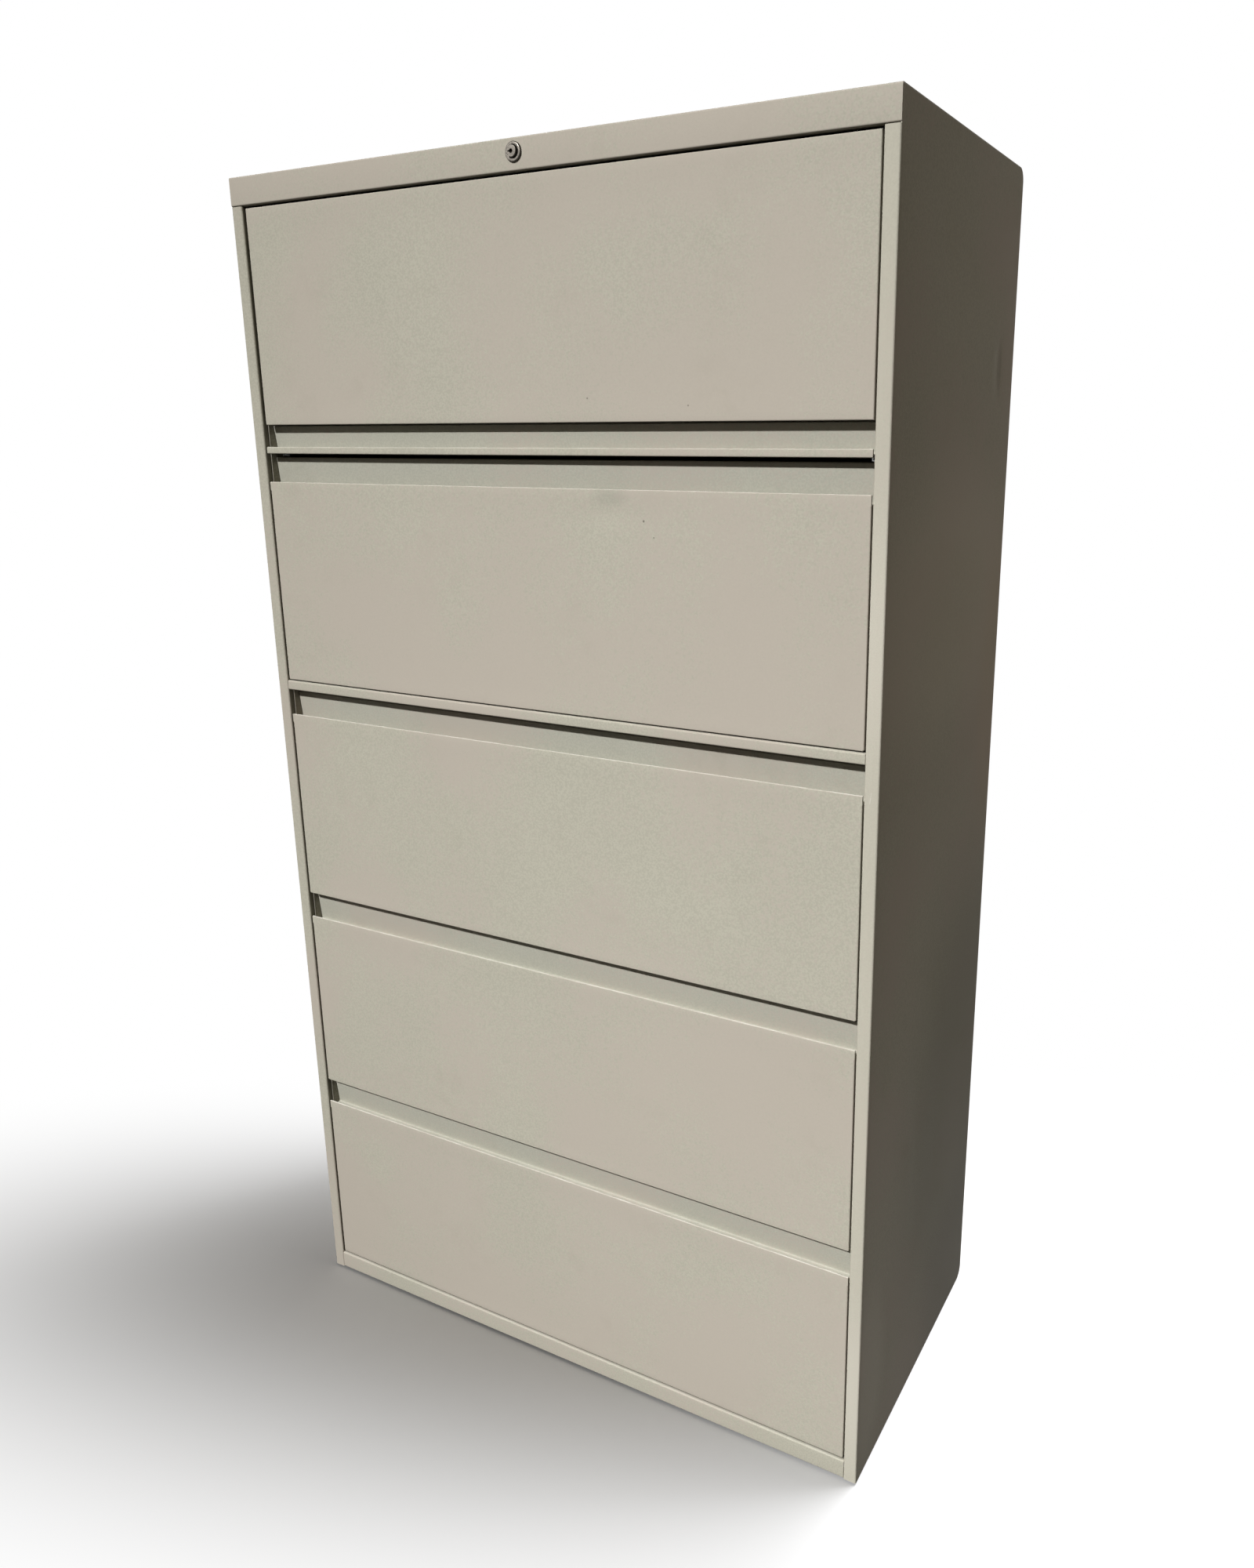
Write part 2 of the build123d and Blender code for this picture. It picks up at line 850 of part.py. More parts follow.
def make_lock_plug():
    """Turning plug with a round keyhole and its slot."""
    profile = [
        (0, back(-plug_reach)),
        (plug_radius - plug_edge, back(-plug_reach)),
        (plug_radius, back(plug_edge - plug_reach)),
        (plug_radius, back(plug_tail)),
        (0, back(plug_tail)),
    ]
    with BuildPart() as plug:
        with BuildSketch(Plane.XY.offset(lock_z)):
            with BuildLine():
                Polyline(*profile, close=True)
            make_face()
        revolve(axis=Axis((0, 0, lock_z), (0, 1, 0)))
        with BuildSketch(across(keyhole_depth - plug_reach)):
            with Locations((0, lock_z)):
                Circle(keyhole_radius)
            with Locations((-keyhole_slot / 2, lock_z)):
                Rectangle(keyhole_slot, keyhole_width)
        extrude(amount=2 * keyhole_depth, mode=Mode.SUBTRACT)
    save(plug, "lock_plug")


def make_lock_cam():
    """Cam on the tail of the plug, with the crank pin that moves the rod."""
    with BuildPart() as cam:
        with BuildSketch(across(plug_tail + cam_gauge)):
            with Locations((0, lock_z)):
                Circle(plug_radius)
            with Locations((crank_reach, lock_z - crank_reach)):
                Circle(cam_tip_radius)
            make_hull()
        extrude(amount=cam_gauge)
        with BuildSketch(across(pin_reach)):
            with Locations((crank_reach, lock_z - crank_reach)):
                Circle(crank_pin_radius)
        extrude(amount=pin_reach - plug_tail)
    save(cam, "lock_cam")


def make_lock_rod():
    """Flat cross rod with an upright slot for the crank and a slanted one for the lock bar."""
    slot_width = 2 * (crank_pin_radius + slot_play)
    travel = 2 * crank_reach
    rise = crank_radius - crank_reach
    with BuildPart() as rod:
        with BuildSketch(across(rod_back + rod_gauge)):
            with BuildLine():
                Polyline(
                    (-rod_tail, rod_bottom),
                    (right(case_gauge + slot_play), rod_bottom),
                    (right(case_gauge + slot_play), rod_bottom + rod_height),
                    (-rod_tail, rod_bottom + rod_height),
                    close=True,
                )
            make_face()
            with Locations((crank_reach, lock_z - crank_reach - rise / 2)):
                Rectangle(slot_width, slot_width + rise + slot_play, mode=Mode.SUBTRACT)
            with Locations((bar_pin_x + travel / 2, bar_pin_z + travel / 2)):
                SlotCenterToCenter(
                    travel * 2**0.5,
                    slot_width,
                    rotation=45,
                    mode=Mode.SUBTRACT,
                )
        extrude(amount=rod_gauge)
    save(rod, "lock_rod")


def make_lock_bar():
    """Upright bar inside the right front post, lifted by the slanted slot of the rod."""
    with BuildPart() as bar:
        block(
            (bar_start, bar_start + bar_width),
            (back(bar_back), back(bar_back + bar_gauge)),
            (bar_foot, bar_pin_z + 2 * crank_pin_radius),
        )
        for row in range(drawer_count):
            middle = row_bottom(row) + face_height / 2
            block(
                (bar_start + bar_width / 3, bar_start + 2 * bar_width / 3),
                (back(bar_back - bar_gauge), back(bar_back + 2 * bar_gauge)),
                (middle - bar_window / 2, middle + bar_window / 2),
                mode=Mode.SUBTRACT,
            )
        with BuildSketch(across(pin_reach)):
            with Locations((bar_pin_x, bar_pin_z)):
                Circle(crank_pin_radius)
        extrude(amount=pin_reach - bar_back)
    save(bar, "lock_bar")


def make_rod_guides():
    """Windowed brackets under the top that carry the cross rod."""
    first = guide_overlap - rod_tail
    last = right(post_face + guide_post_gap)
    with BuildPart() as guides:
        for middle in (first, (first + last) / 2, last):
            block(
                (middle - guide_gauge / 2, middle + guide_gauge / 2),
                (back(rod_back - guide_depth), back(rod_back + rod_gauge + guide_depth)),
                (rod_bottom - guide_window - guide_wall, inner_top),
            )
            block(
                (middle - guide_gauge, middle + guide_gauge),
                (back(rod_back - guide_window), back(rod_back + rod_gauge + guide_window)),
                (rod_bottom - guide_window, rod_bottom + rod_height + guide_window),
                mode=Mode.SUBTRACT,
            )
    save(guides, "rod_guides")


# ================================================================ glides
def glide_places():
    """Name and place of each levelling glide."""
    for side_name, x in (("left", -right(glide_inset)), ("right", right(glide_inset))):
        for end_name, depth in (("front", glide_front), ("rear", glide_rear)):
            yield f"{end_name}_{side_name}_glide", x, back(depth)


def make_glide_bushes():
    """Weld nuts in the base pan, one over each glide."""
    with BuildPart() as bushes:
        with BuildSketch(Plane.XY.offset(pan_top - case_gauge - nut_below)):
            for _, x, y in glide_places():
                with Locations((x, y)):
                    RegularPolygon(nut_collar / 2, 6, major_radius=False)
                    Circle(glide_stud_radius + glide_run, mode=Mode.SUBTRACT)
        extrude(amount=nut_below + case_gauge + nut_above)
    save(bushes, "glide_bushes")


def make_glide(name, x, y):
    """Levelling glide: a hexagonal foot on a threaded stud, with a slot for a driver on top."""
    with BuildPart() as glide:
        with BuildSketch(Plane.XY):
            with Locations((x, y)):
                RegularPolygon(glide_foot_across / 2, 6, major_radius=False)
        extrude(amount=glide_foot_height)
        chamfer(faces().sort_by(Axis.Z)[0].edges(), length=glide_foot_edge)
        with BuildSketch(Plane.XY.offset(glide_foot_height)):
            with Locations((x, y)):
                Circle(glide_stud_radius)
        extrude(amount=glide_stud_top - glide_foot_height)
        block(
            (x - 2 * glide_stud_radius, x + 2 * glide_stud_radius),
            (y - driver_slot / 2, y + driver_slot / 2),
            (glide_stud_top - 2 * driver_slot, glide_stud_top + 1),
            mode=Mode.SUBTRACT,
        )
    save(glide, name)


# ================================================================ everything
def make_row(name, low):
    """All pieces of one drawer."""
    make_drawer_front(f"{name}_front", low)
    make_pull(f"{name}_pull", low, face_height, head_height, pocket_depth)
    make_tray(f"{name}_tray", low, tray_floor, tray_side_height, tray_wall_height)
    make_hanging_rails(f"{name}_hanging_rails", low)
    level = [low + slide_level]
    make_members(f"{name}_middle_slides", level, middle_section, middle_start, middle_length)
    make_members(f"{name}_inner_slides", level, inner_section, slide_front, slide_length)


def make_shelf():
    """All pieces of the roll-out shelf."""
    make_shelf_front()
    make_pull("shelf_pull", shelf_bottom, shelf_strip, shelf_head, shelf_pocket)
    make_tray("shelf_tray", shelf_bottom, shelf_floor, shelf_side, shelf_side)
    level = [shelf_bottom + shelf_slide_level]
    make_members("shelf_middle_slides", level, middle_section, middle_start, middle_length)
    make_members("shelf_inner_slides", level, inner_section, slide_front, slide_length)


def main():
    """Builds and writes every piece."""
    os.makedirs("parts", exist_ok=True)
    make_side("right_side", mirrored=False)
    make_side("left_side", mirrored=True)
    make_top_cap()
    make_back_panel()
    make_base_pan()
    make_rail(
        "bottom_rail",
        floor_gap,
        bottom_rail_height,
        bottom_rail_setback,
        bottom_rail_foot,
        bottom_rail_shelf,
    )
    make_rail(
        "mid_rail",
        mid_rail_bottom,
        mid_rail_height,
        mid_rail_setback,
        mid_rail_depth,
        mid_rail_depth,
    )
    make_posts("front_posts", stile_return, post_width)
    make_posts("rear_posts", rear_post_start, post_width)
    make_members("outer_slides", slide_levels, outer_section, slide_front, slide_length)
    make_members("door_tracks", [track_z], track_section, track_start, track_length)
    make_glide_bushes()
    for name, x, y in glide_places():
        make_glide(name, x, y)
    make_lock_barrel()
    make_lock_nut()
    make_lock_plug()
    make_lock_cam()
    make_lock_rod()
    make_lock_bar()
    make_rod_guides()
    make_door()
    make_door_hinges()
    make_carriage_arms()
    make_carriage_tie()
    make_members("carriage_runners", [track_z], runner_section, track_start, runner_length)
    make_shelf()
    for row in range(drawer_count):
        make_row(f"drawer_{drawer_count + 1 - row}", row_bottom(row))


main()
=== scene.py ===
"""Looks of a five-high lateral filing cabinet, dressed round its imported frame.

Lengths are in metres in the frame's own axes: +X to the right, +Y to the back, +Z up. Sheet metal is a
folded section carried along a straight line, the door is rings round a rectangle, and the lock and the
glides are rings round an axis. Every place is read from the frame.
"""

import logging
from dataclasses import dataclass
from enum import Enum
from math import pi, radians, tau
from typing import Callable

import bpy
import numpy as np
from mathutils import Matrix, Vector


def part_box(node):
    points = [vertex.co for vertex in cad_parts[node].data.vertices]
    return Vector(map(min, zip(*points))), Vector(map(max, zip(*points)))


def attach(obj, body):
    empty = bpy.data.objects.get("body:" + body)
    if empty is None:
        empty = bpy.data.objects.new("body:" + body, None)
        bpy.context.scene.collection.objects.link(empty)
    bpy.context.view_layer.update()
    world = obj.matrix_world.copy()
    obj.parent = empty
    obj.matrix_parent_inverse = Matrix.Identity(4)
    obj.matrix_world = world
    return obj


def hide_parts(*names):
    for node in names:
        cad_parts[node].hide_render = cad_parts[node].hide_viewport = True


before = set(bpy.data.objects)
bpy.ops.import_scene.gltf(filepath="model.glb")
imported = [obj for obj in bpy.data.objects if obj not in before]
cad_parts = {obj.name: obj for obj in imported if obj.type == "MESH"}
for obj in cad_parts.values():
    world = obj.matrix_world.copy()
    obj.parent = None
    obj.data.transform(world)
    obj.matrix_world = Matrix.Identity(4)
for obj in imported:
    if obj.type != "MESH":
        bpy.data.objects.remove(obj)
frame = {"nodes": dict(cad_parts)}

MM = 0.001
FADE = 50 * MM
DRAWER_POCKET = 10.5 * MM
SHELF_POCKET = 5.5 * MM
log = logging.getLogger("filing_cabinet")

Color = tuple[float, float, float]
Point = tuple[float, float, float]
Shift = Callable[[np.ndarray], np.ndarray]
SPECK: Color = (0.10, 0.09, 0.075)


class Slot(Enum):
    """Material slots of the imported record."""

    PAINT = "cabinet_paint"
    ZINC = "zinc_plate"
    LOCK = "lock_metal"


class Lay(Enum):
    """Which frame axes a section's two coordinates and its line of travel lie along."""

    ALONG_X = (1, 2, 0)
    ALONG_Z = (0, 1, 2)


class Metal(Enum):
    """Side of a section's path on which the metal lies, seen along the path."""

    LEFT = 1.0
    RIGHT = -1.0


# ---------------------------------------------------------------- surfaces
@dataclass
class Shell:
    """One closed surface: its points, and its faces as arrays of corner numbers."""

    points: np.ndarray
    faces: list[np.ndarray]

    def volume(self) -> float:
        """Signed volume: the sum over triangles of a . (b x c) / 6.

        Returns:
            Its volume, below nothing where the faces point inwards.
        """
        total = 0.0
        for face in self.faces:
            first = self.points[face[:, 0]]
            for step in range(1, face.shape[1] - 1):
                second = self.points[face[:, step]]
                third = self.points[face[:, step + 1]]
                total += float(np.sum(first * np.cross(second, third))) / 6
        return total

    def outward(self) -> "Shell":
        """The same surface with its faces pointing outwards.

        Returns:
            This surface, or one with every face turned.
        """
        if self.volume() < 0:
            return Shell(self.points, [face[:, ::-1] for face in self.faces])
        return self

    def moved(self, shift: Shift) -> "Shell":
        """The same surface with its points carried by a function of all of them."""
        return Shell(shift(self.points), self.faces)

    def mirrored(self) -> "Shell":
        """The same surface on the other side of the middle of the case, turned right way out."""
        return Shell(self.points * (-1.0, 1.0, 1.0), [face[:, ::-1] for face in self.faces])


def grid_faces(rows: int, cols: int, ring: bool = False) -> np.ndarray:
    """Quads between neighbouring points of a grid that is stored row by row.

    Args:
        rows: Points along the first parameter.
        cols: Points along the second parameter.
        ring: Whether the last column joins the first again.

    Returns:
        An array of four corner numbers a face.
    """
    row = np.arange(rows - 1)[:, None] * cols
    col = np.arange(cols if ring else cols - 1)[None, :]
    after = (col + 1) % cols
    quads = np.stack([row + col, row + after, row + cols + after, row + cols + col], -1)
    return quads.reshape(-1, 4)


def rounded_path(corners: np.ndarray, radii: list[float], steps: int = 6) -> np.ndarray:
    """Path through corners whose bends are arcs, with its left normal at every point.

    A bend of radius r that turns by t takes r tan(t / 2) off both its legs, and its points are the
    arc's middle less or plus r times the normal, which turns evenly from one leg's to the other's.

    Args:
        corners: The corners, one row each, in the plane of the section.
        radii: Radius of each bend between the two ends.
        steps: Points in a bend, less one.

    Returns:
        Rows of two coordinates and two normal components.
    """
    legs = np.diff(corners, axis=0)
    along = legs / np.linalg.norm(legs, axis=1)[:, None]
    left = np.stack([-along[:, 1], along[:, 0]], 1)
    parts = [np.concatenate([corners[:1], left[:1]], 1)]
    for bend, radius in enumerate(radii):
        into, out = along[bend], along[bend + 1]
        turn = np.arctan2(into[0] * out[1] - into[1] * out[0], into @ out)
        way = np.sign(turn)
        start = corners[bend + 1] - into * radius * np.tan(abs(turn) / 2)
        middle = start + left[bend] * radius * way
        angle = np.linspace(0, turn, steps + 1)
        normal = np.stack(
            [
                left[bend][0] * np.cos(angle) - left[bend][1] * np.sin(angle),
                left[bend][0] * np.sin(angle) + left[bend][1] * np.cos(angle),
            ],
            1,
        )
        parts.append(np.concatenate([middle - normal * radius * way, normal], 1))
    parts.append(np.concatenate([corners[-1:], left[-1:]], 1))
    return np.concatenate(parts)


def divided(path: np.ndarray, spacing: float) -> np.ndarray:
    """The same path with its long straight runs divided evenly, no step longer than a spacing.

    Args:
        path: Rows of two coordinates and two normal components.
        spacing: Longest step.

    Returns:
        The path with more rows.
    """
    step = np.linalg.norm(np.diff(path[:, :2], axis=0), axis=1)
    count = np.maximum(1, np.ceil(step / spacing - 1e-6)).astype(int)
    run = np.repeat(np.arange(len(step)), count)
    place = np.arange(count.sum()) - np.repeat(np.cumsum(count) - count, count)
    share = (place / np.repeat(count, count))[:, None]
    inner = path[run] * (1 - share) + path[run + 1] * share
    return np.concatenate([inner, path[-1:]])


def stations(low: float, high: float, spacing: float) -> np.ndarray:
    """Even places from low to high, no step longer than a spacing."""
    return np.linspace(low, high, max(2, int(np.ceil((high - low) / spacing)) + 1))


def sheet(path: np.ndarray, gauge: float, metal: Metal, line: np.ndarray, lay: Lay) -> Shell:
    """Folded sheet: a path's section, closed by the path offset by the gauge, carried along a line.

    A point is (section(u), v): the path's own point for the outer face, and that point plus the
    gauge times its normal for the inner face, at each station v of the line.

    Args:
        path: Rows of two coordinates and two normal components.
        gauge: Thickness of the metal.
        metal: Side of the path that the metal is on.
        line: Stations along the line of travel.
        lay: Axes of the section and of the line.

    Returns:
        The closed sheet.
    """
    outer = path[:, :2]
    inner = outer + path[:, 2:] * gauge * metal.value
    loop = np.concatenate([outer, inner[::-1]])
    count, rows = len(loop), len(line)
    points = np.empty((rows, count, 3))
    first, second, third = lay.value
    points[:, :, first] = loop[None, :, 0]
    points[:, :, second] = loop[None, :, 1]
    points[:, :, third] = line[:, None]
    edge = np.arange(len(path) - 1)
    cap = np.stack([edge, edge + 1, count - 2 - edge, count - 1 - edge], 1)
    faces = [grid_faces(rows, count, ring=True), cap[:, ::-1], cap + (rows - 1) * count]
    return Shell(points.reshape(-1, 3), faces).outward()


def ring_solid(loop: np.ndarray, around: int = 96) -> Shell:
    """Turned ring: a closed loop of radius and height carried once about the Y axis.

    Args:
        loop: Rows of radius and height, in order round the section.
        around: Points in a circle.

    Returns:
        The closed ring.
    """
    angle = np.linspace(0, tau, around, endpoint=False)
    count = len(loop)
    points = np.stack(
        [
            np.cos(angle)[:, None] * loop[:, 0],
            np.repeat(loop[None, :, 1], around, 0),
            np.sin(angle)[:, None] * loop[:, 0],
        ],
        -1,
    ).reshape(-1, 3)
    quads = grid_faces(around + 1, count, ring=True) % (around * count)
    return Shell(points, [quads]).outward()


def fanned_rings(rings: np.ndarray, ends: np.ndarray) -> Shell:
    """Rings of points, each joined to the next, with a fan from a middle point at both ends.

    Args:
        rings: Rows by points by three coordinates.
        ends: The middle point of the first ring and that of the last.

    Returns:
        The closed solid.
    """
    rows, count = rings.shape[:2]
    here = np.arange(count)
    after = (here + 1) % count
    last = (rows - 1) * count
    low = rows * count
    faces = [
        grid_faces(rows, count, ring=True),
        np.stack([np.full(count, low), after, here], 1),
        np.stack([np.full(count, low + 1), last + here, last + after], 1),
    ]
    return Shell(np.concatenate([rings.reshape(-1, 3), ends]), faces).outward()


def placed(shell: Shell, middle: Point) -> Shell:
    """The shell carried from the origin to its place."""
    return shell.moved(lambda points: points + np.array(middle))


def window(value: np.ndarray, low: float, high: float, edge: float) -> np.ndarray:
    """Nothing outside low..high and one inside: 3 s^2 - 2 s^3 of the share s of each edge.

    Args:
        value: Places to weigh.
        low: Place at which it starts to rise.
        high: Place at which it is down to nothing again.
        edge: Width of the rise and of the fall.

    Returns:
        A share for each place.
    """
    rise = np.clip((value - low) / edge, 0, 1)
    fall = np.clip((high - value) / edge, 0, 1)
    return (rise * rise * (3 - 2 * rise)) * (fall * fall * (3 - 2 * fall))


def ripple(across: np.ndarray, up: np.ndarray, seed: int) -> np.ndarray:
    """Slow waves of rolled sheet: the mean of six plane waves 0.13 m to 0.45 m long, about +-1.

    Args:
        across: Places across the sheet.
        up: Places up the sheet.
        seed: Number that the waves are drawn from.

    Returns:
        A height for each place.
    """
    rng = np.random.default_rng(seed)
    total = np.zeros_like(across)
    for _ in range(6):
        turn, phase = rng.uniform(0, tau, 2)
        number = tau / rng.uniform(0.13, 0.45)
        total += np.sin(number * (across * np.cos(turn) + up * np.sin(turn)) + phase)
    return total / 6


@dataclass(frozen=True)
class Dent:
    """A shallow dent in a face: its place across and up, its two radii and its depth."""

    across: float
    up: float
    wide: float
    tall: float
    depth: float

    def push(self, x: np.ndarray, z: np.ndarray) -> np.ndarray:
        """Depth at a point: depth * exp(-(dx / wide)^2 - (dz / tall)^2)."""
        off = ((x - self.across) / self.wide) ** 2 + ((z - self.up) / self.tall) ** 2
        return self.depth * np.exp(-off)


@dataclass(frozen=True)
class Crease:
    """A faint valley along a leaning line: a point on it, its lean, its ends, width and depth."""

    across: float
    up: float
    lean: float
    low: float
    high: float
    fade: float
    wide: float
    depth: float

    def push(self, x: np.ndarray, z: np.ndarray) -> np.ndarray:
        """Depth at a point: depth * exp(-(off / wide)^2), faded out towards both ends."""
        off = x - self.across - self.lean * (z - self.up)
        return self.depth * window(z, self.low, self.high, self.fade) * np.exp(-((off / self.wide) ** 2))


def make_piece(name: str, shells: list[Shell], crease: float = 32.0) -> bpy.types.Object:
    """Puts closed surfaces into one object, smooth but for bends sharper than a crease.

    Args:
        name: Name of the object.
        shells: Its surfaces.
        crease: Angle in degrees from which an edge stays sharp.

    Returns:
        The object, linked and at the origin.
    """
    points, faces, offset = [], [], 0
    for shell in shells:
        points.append(shell.points)
        for face in shell.faces:
            faces.extend((face + offset).tolist())
        offset += len(shell.points)
    mesh = bpy.data.meshes.new(name)
    mesh.from_pydata(np.concatenate(points).tolist(), [], faces)
    mesh.shade_smooth()
    mesh.set_sharp_from_angle(angle=radians(crease))
    mesh.update()
    made = bpy.data.objects.new(name, mesh)
    bpy.context.scene.collection.objects.link(made)
    return made


def dress(piece: bpy.types.Object, material: bpy.types.Material) -> None:
    """Gives every material slot of a piece the same finish.

    Args:
        piece: The piece.
        material: Its finish.
    """
    if not piece.material_slots:
        piece.data.materials.append(material)
    for slot in piece.material_slots:
        slot.material = material


def settle(
    piece: bpy.types.Object,
    body: str,
    material: bpy.types.Material,
    nodes: tuple[str, ...] = (),
) -> None:
    """Dresses a new piece, hangs it on its body and lets it stand for its nodes.

    Args:
        piece: The new piece.
        body: Name of the body that it moves with.
        material: Its finish.
        nodes: Nodes of the frame that it stands for.
    """
    dress(piece, material)
    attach(piece, body)
    if nodes:
        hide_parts(*nodes)
    log.info("%s: %d faces on %s", piece.name, len(piece.data.polygons), body)


# ---------------------------------------------------------------- node trees
class Wiring:
    """Short calls for the nodes and wires of one node tree."""

    def __init__(self, tree: bpy.types.NodeTree) -> None:
        """Keeps the tree."""
        self.tree = tree

    def node(self, kind: str, **settings: object) -> bpy.types.Node:
        """Adds a node and sets its properties.

        Args:
            kind: Type of the node.
            settings: Its properties and their values.

        Returns:
            The node.
        """
        made = self.tree.nodes.new(kind)
        for key, value in settings.items():
            setattr(made, key, value)
        return made

    def join(self, source: object, target: bpy.types.NodeSocket) -> None:
        """Wires an output to an input, or sets the input to a plain value.

        Args:
            source: An output, or a plain value.
            target: The input.
        """
        if isinstance(source, bpy.types.NodeSocket):
            self.tree.links.new(source, target)
        else:
            target.default_value = source

    def math(self, operation: str, *values: object, clamp: bool = False) -> bpy.types.NodeSocket:
        """One step of arithmetic.

        Args:
            operation: Name of the step.
            values: Outputs or plain numbers, in order.
            clamp: Whether the result is held between nothing and one.

        Returns:
            The result.
        """
        made = self.node("ShaderNodeMath", operation=operation, use_clamp=clamp)
        for socket, value in zip(made.inputs, values):
            self.join(value, socket)
        return made.outputs[0]

    def vector(self, operation: str, *values: object) -> bpy.types.Node:
        """One step of arithmetic on vectors; its outputs are Vector and Value.

        Args:
            operation: Name of the step.
            values: Outputs or plain vectors, in order.

        Returns:
            The node.
        """
        made = self.node("ShaderNodeVectorMath", operation=operation)
        for socket, value in zip(made.inputs, values):
            self.join(value, socket)
        return made

    def mix(self, share: object, first: object, second: object) -> bpy.types.NodeSocket:
        """Blend of two colours, each a socket or three plain numbers.

        Args:
            share: Share of the second colour.
            first: Colour at a share of nothing.
            second: Colour at a share of one.

        Returns:
            The blend.
        """
        made = self.node("ShaderNodeMix", data_type="RGBA")
        self.join(share, made.inputs[0])
        for color, target in ((first, made.inputs[6]), (second, made.inputs[7])):
            wired = isinstance(color, bpy.types.NodeSocket)
            self.join(color if wired else (*color, 1.0), target)
        return made.outputs[2]

    def weighed(self, first: object, share: float, second: object) -> bpy.types.NodeSocket:
        """Mean of two values: share times the first and the rest of the second.

        Args:
            first: First value.
            share: Its share.
            second: Second value.

        Returns:
            The mean.
        """
        part = self.math("MULTIPLY", first, share)
        return self.math("ADD", part, self.math("MULTIPLY", second, 1.0 - share))

    def length(self, vector: object) -> bpy.types.NodeSocket:
        """Length of a vector."""
        return self.vector("LENGTH", vector).outputs["Value"]

    def axes(self, vector: object) -> bpy.types.bpy_prop_collection:
        """The three numbers of a vector.

        Args:
            vector: The vector.

        Returns:
            Its X, Y and Z.
        """
        made = self.node("ShaderNodeSeparateXYZ")
        self.join(vector, made.inputs[0])
        return made.outputs

    def facing(self) -> bpy.types.bpy_prop_collection:
        """The three numbers of the face's own direction."""
        return self.axes(self.node("ShaderNodeNewGeometry").outputs["Normal"])

    def noise(self, place: object, scale: object, detail: float = 2.0) -> bpy.types.NodeSocket:
        """Cloudy noise between nothing and one, at so many blobs to the metre.

        Args:
            place: Where it is read.
            scale: Blobs to the metre.
            detail: Finer layers on top of the blobs.

        Returns:
            The noise.
        """
        made = self.node("ShaderNodeTexNoise")
        self.join(place, made.inputs["Vector"])
        self.join(scale, made.inputs["Scale"])
        self.join(detail, made.inputs["Detail"])
        return made.outputs[0]

    def spread(
        self, value: object, low: float, high: float, to_low: float, to_high: float
    ) -> bpy.types.NodeSocket:
        """Carries a value smoothly from one range to another, and holds it there.

        Args:
            value: The value.
            low: Start of its range.
            high: End of its range.
            to_low: Result at the start and below it.
            to_high: Result at the end and above it.

        Returns:
            The result.
        """
        made = self.node("ShaderNodeMapRange", interpolation_type="SMOOTHSTEP", clamp=True)
        for socket, number in zip(made.inputs, (value, low, high, to_low, to_high)):
            self.join(number, socket)
        return made.outputs[0]

    def place(self) -> bpy.types.NodeSocket:
        """The point's own place in the frame."""
        return self.node("ShaderNodeTexCoord").outputs["Object"]

    def bump(self, height: object, strength: float, depth: float) -> bpy.types.NodeSocket:
        """Normal of a height pattern that is so deep in metres.

        Args:
            height: The pattern, between nothing and one.
            strength: Share of the effect.
            depth: Height in metres that one stands for.

        Returns:
            The normal.
        """
        made = self.node("ShaderNodeBump")
        made.inputs["Strength"].default_value = strength
        made.inputs["Distance"].default_value = depth
        self.join(height, made.inputs["Height"])
        return made.outputs[0]

    def use(self, group: bpy.types.NodeTree, **values: object) -> bpy.types.Node:
        """Places a node group with its own values.

        Args:
            group: The node group.
            values: Values of its inputs, or outputs wired to them.

        Returns:
            The placed group.
        """
        made = self.node("ShaderNodeGroup")
        made.node_tree = group
        for key, value in values.items():
            self.join(value, made.inputs[key])
        return made


class Effect:
    """A node group with named inputs and outputs, built once and shared by the finishes."""

    def __init__(
        self, name: str, inputs: dict[str, tuple[str, object]], outputs: tuple[str, ...]
    ) -> None:
        """Makes the group's sockets.

        Args:
            name: Name of the group.
            inputs: Kind of socket and its value at first, for each name.
            outputs: Names of the values that it puts out.
        """
        self.tree = bpy.data.node_groups.new(name, "ShaderNodeTree")
        for key, (kind, value) in inputs.items():
            socket = self.tree.interface.new_socket(key, in_out="INPUT", socket_type=kind)
            socket.default_value = value
        for key in outputs:
            self.tree.interface.new_socket(key, in_out="OUTPUT", socket_type="NodeSocketFloat")
        self.wiring = Wiring(self.tree)
        self.given = self.wiring.node("NodeGroupInput").outputs
        self.result = self.wiring.node("NodeGroupOutput").inputs

    def put(self, name: str, value: object) -> None:
        """Wires a value to an output."""
        self.wiring.join(value, self.result[name])


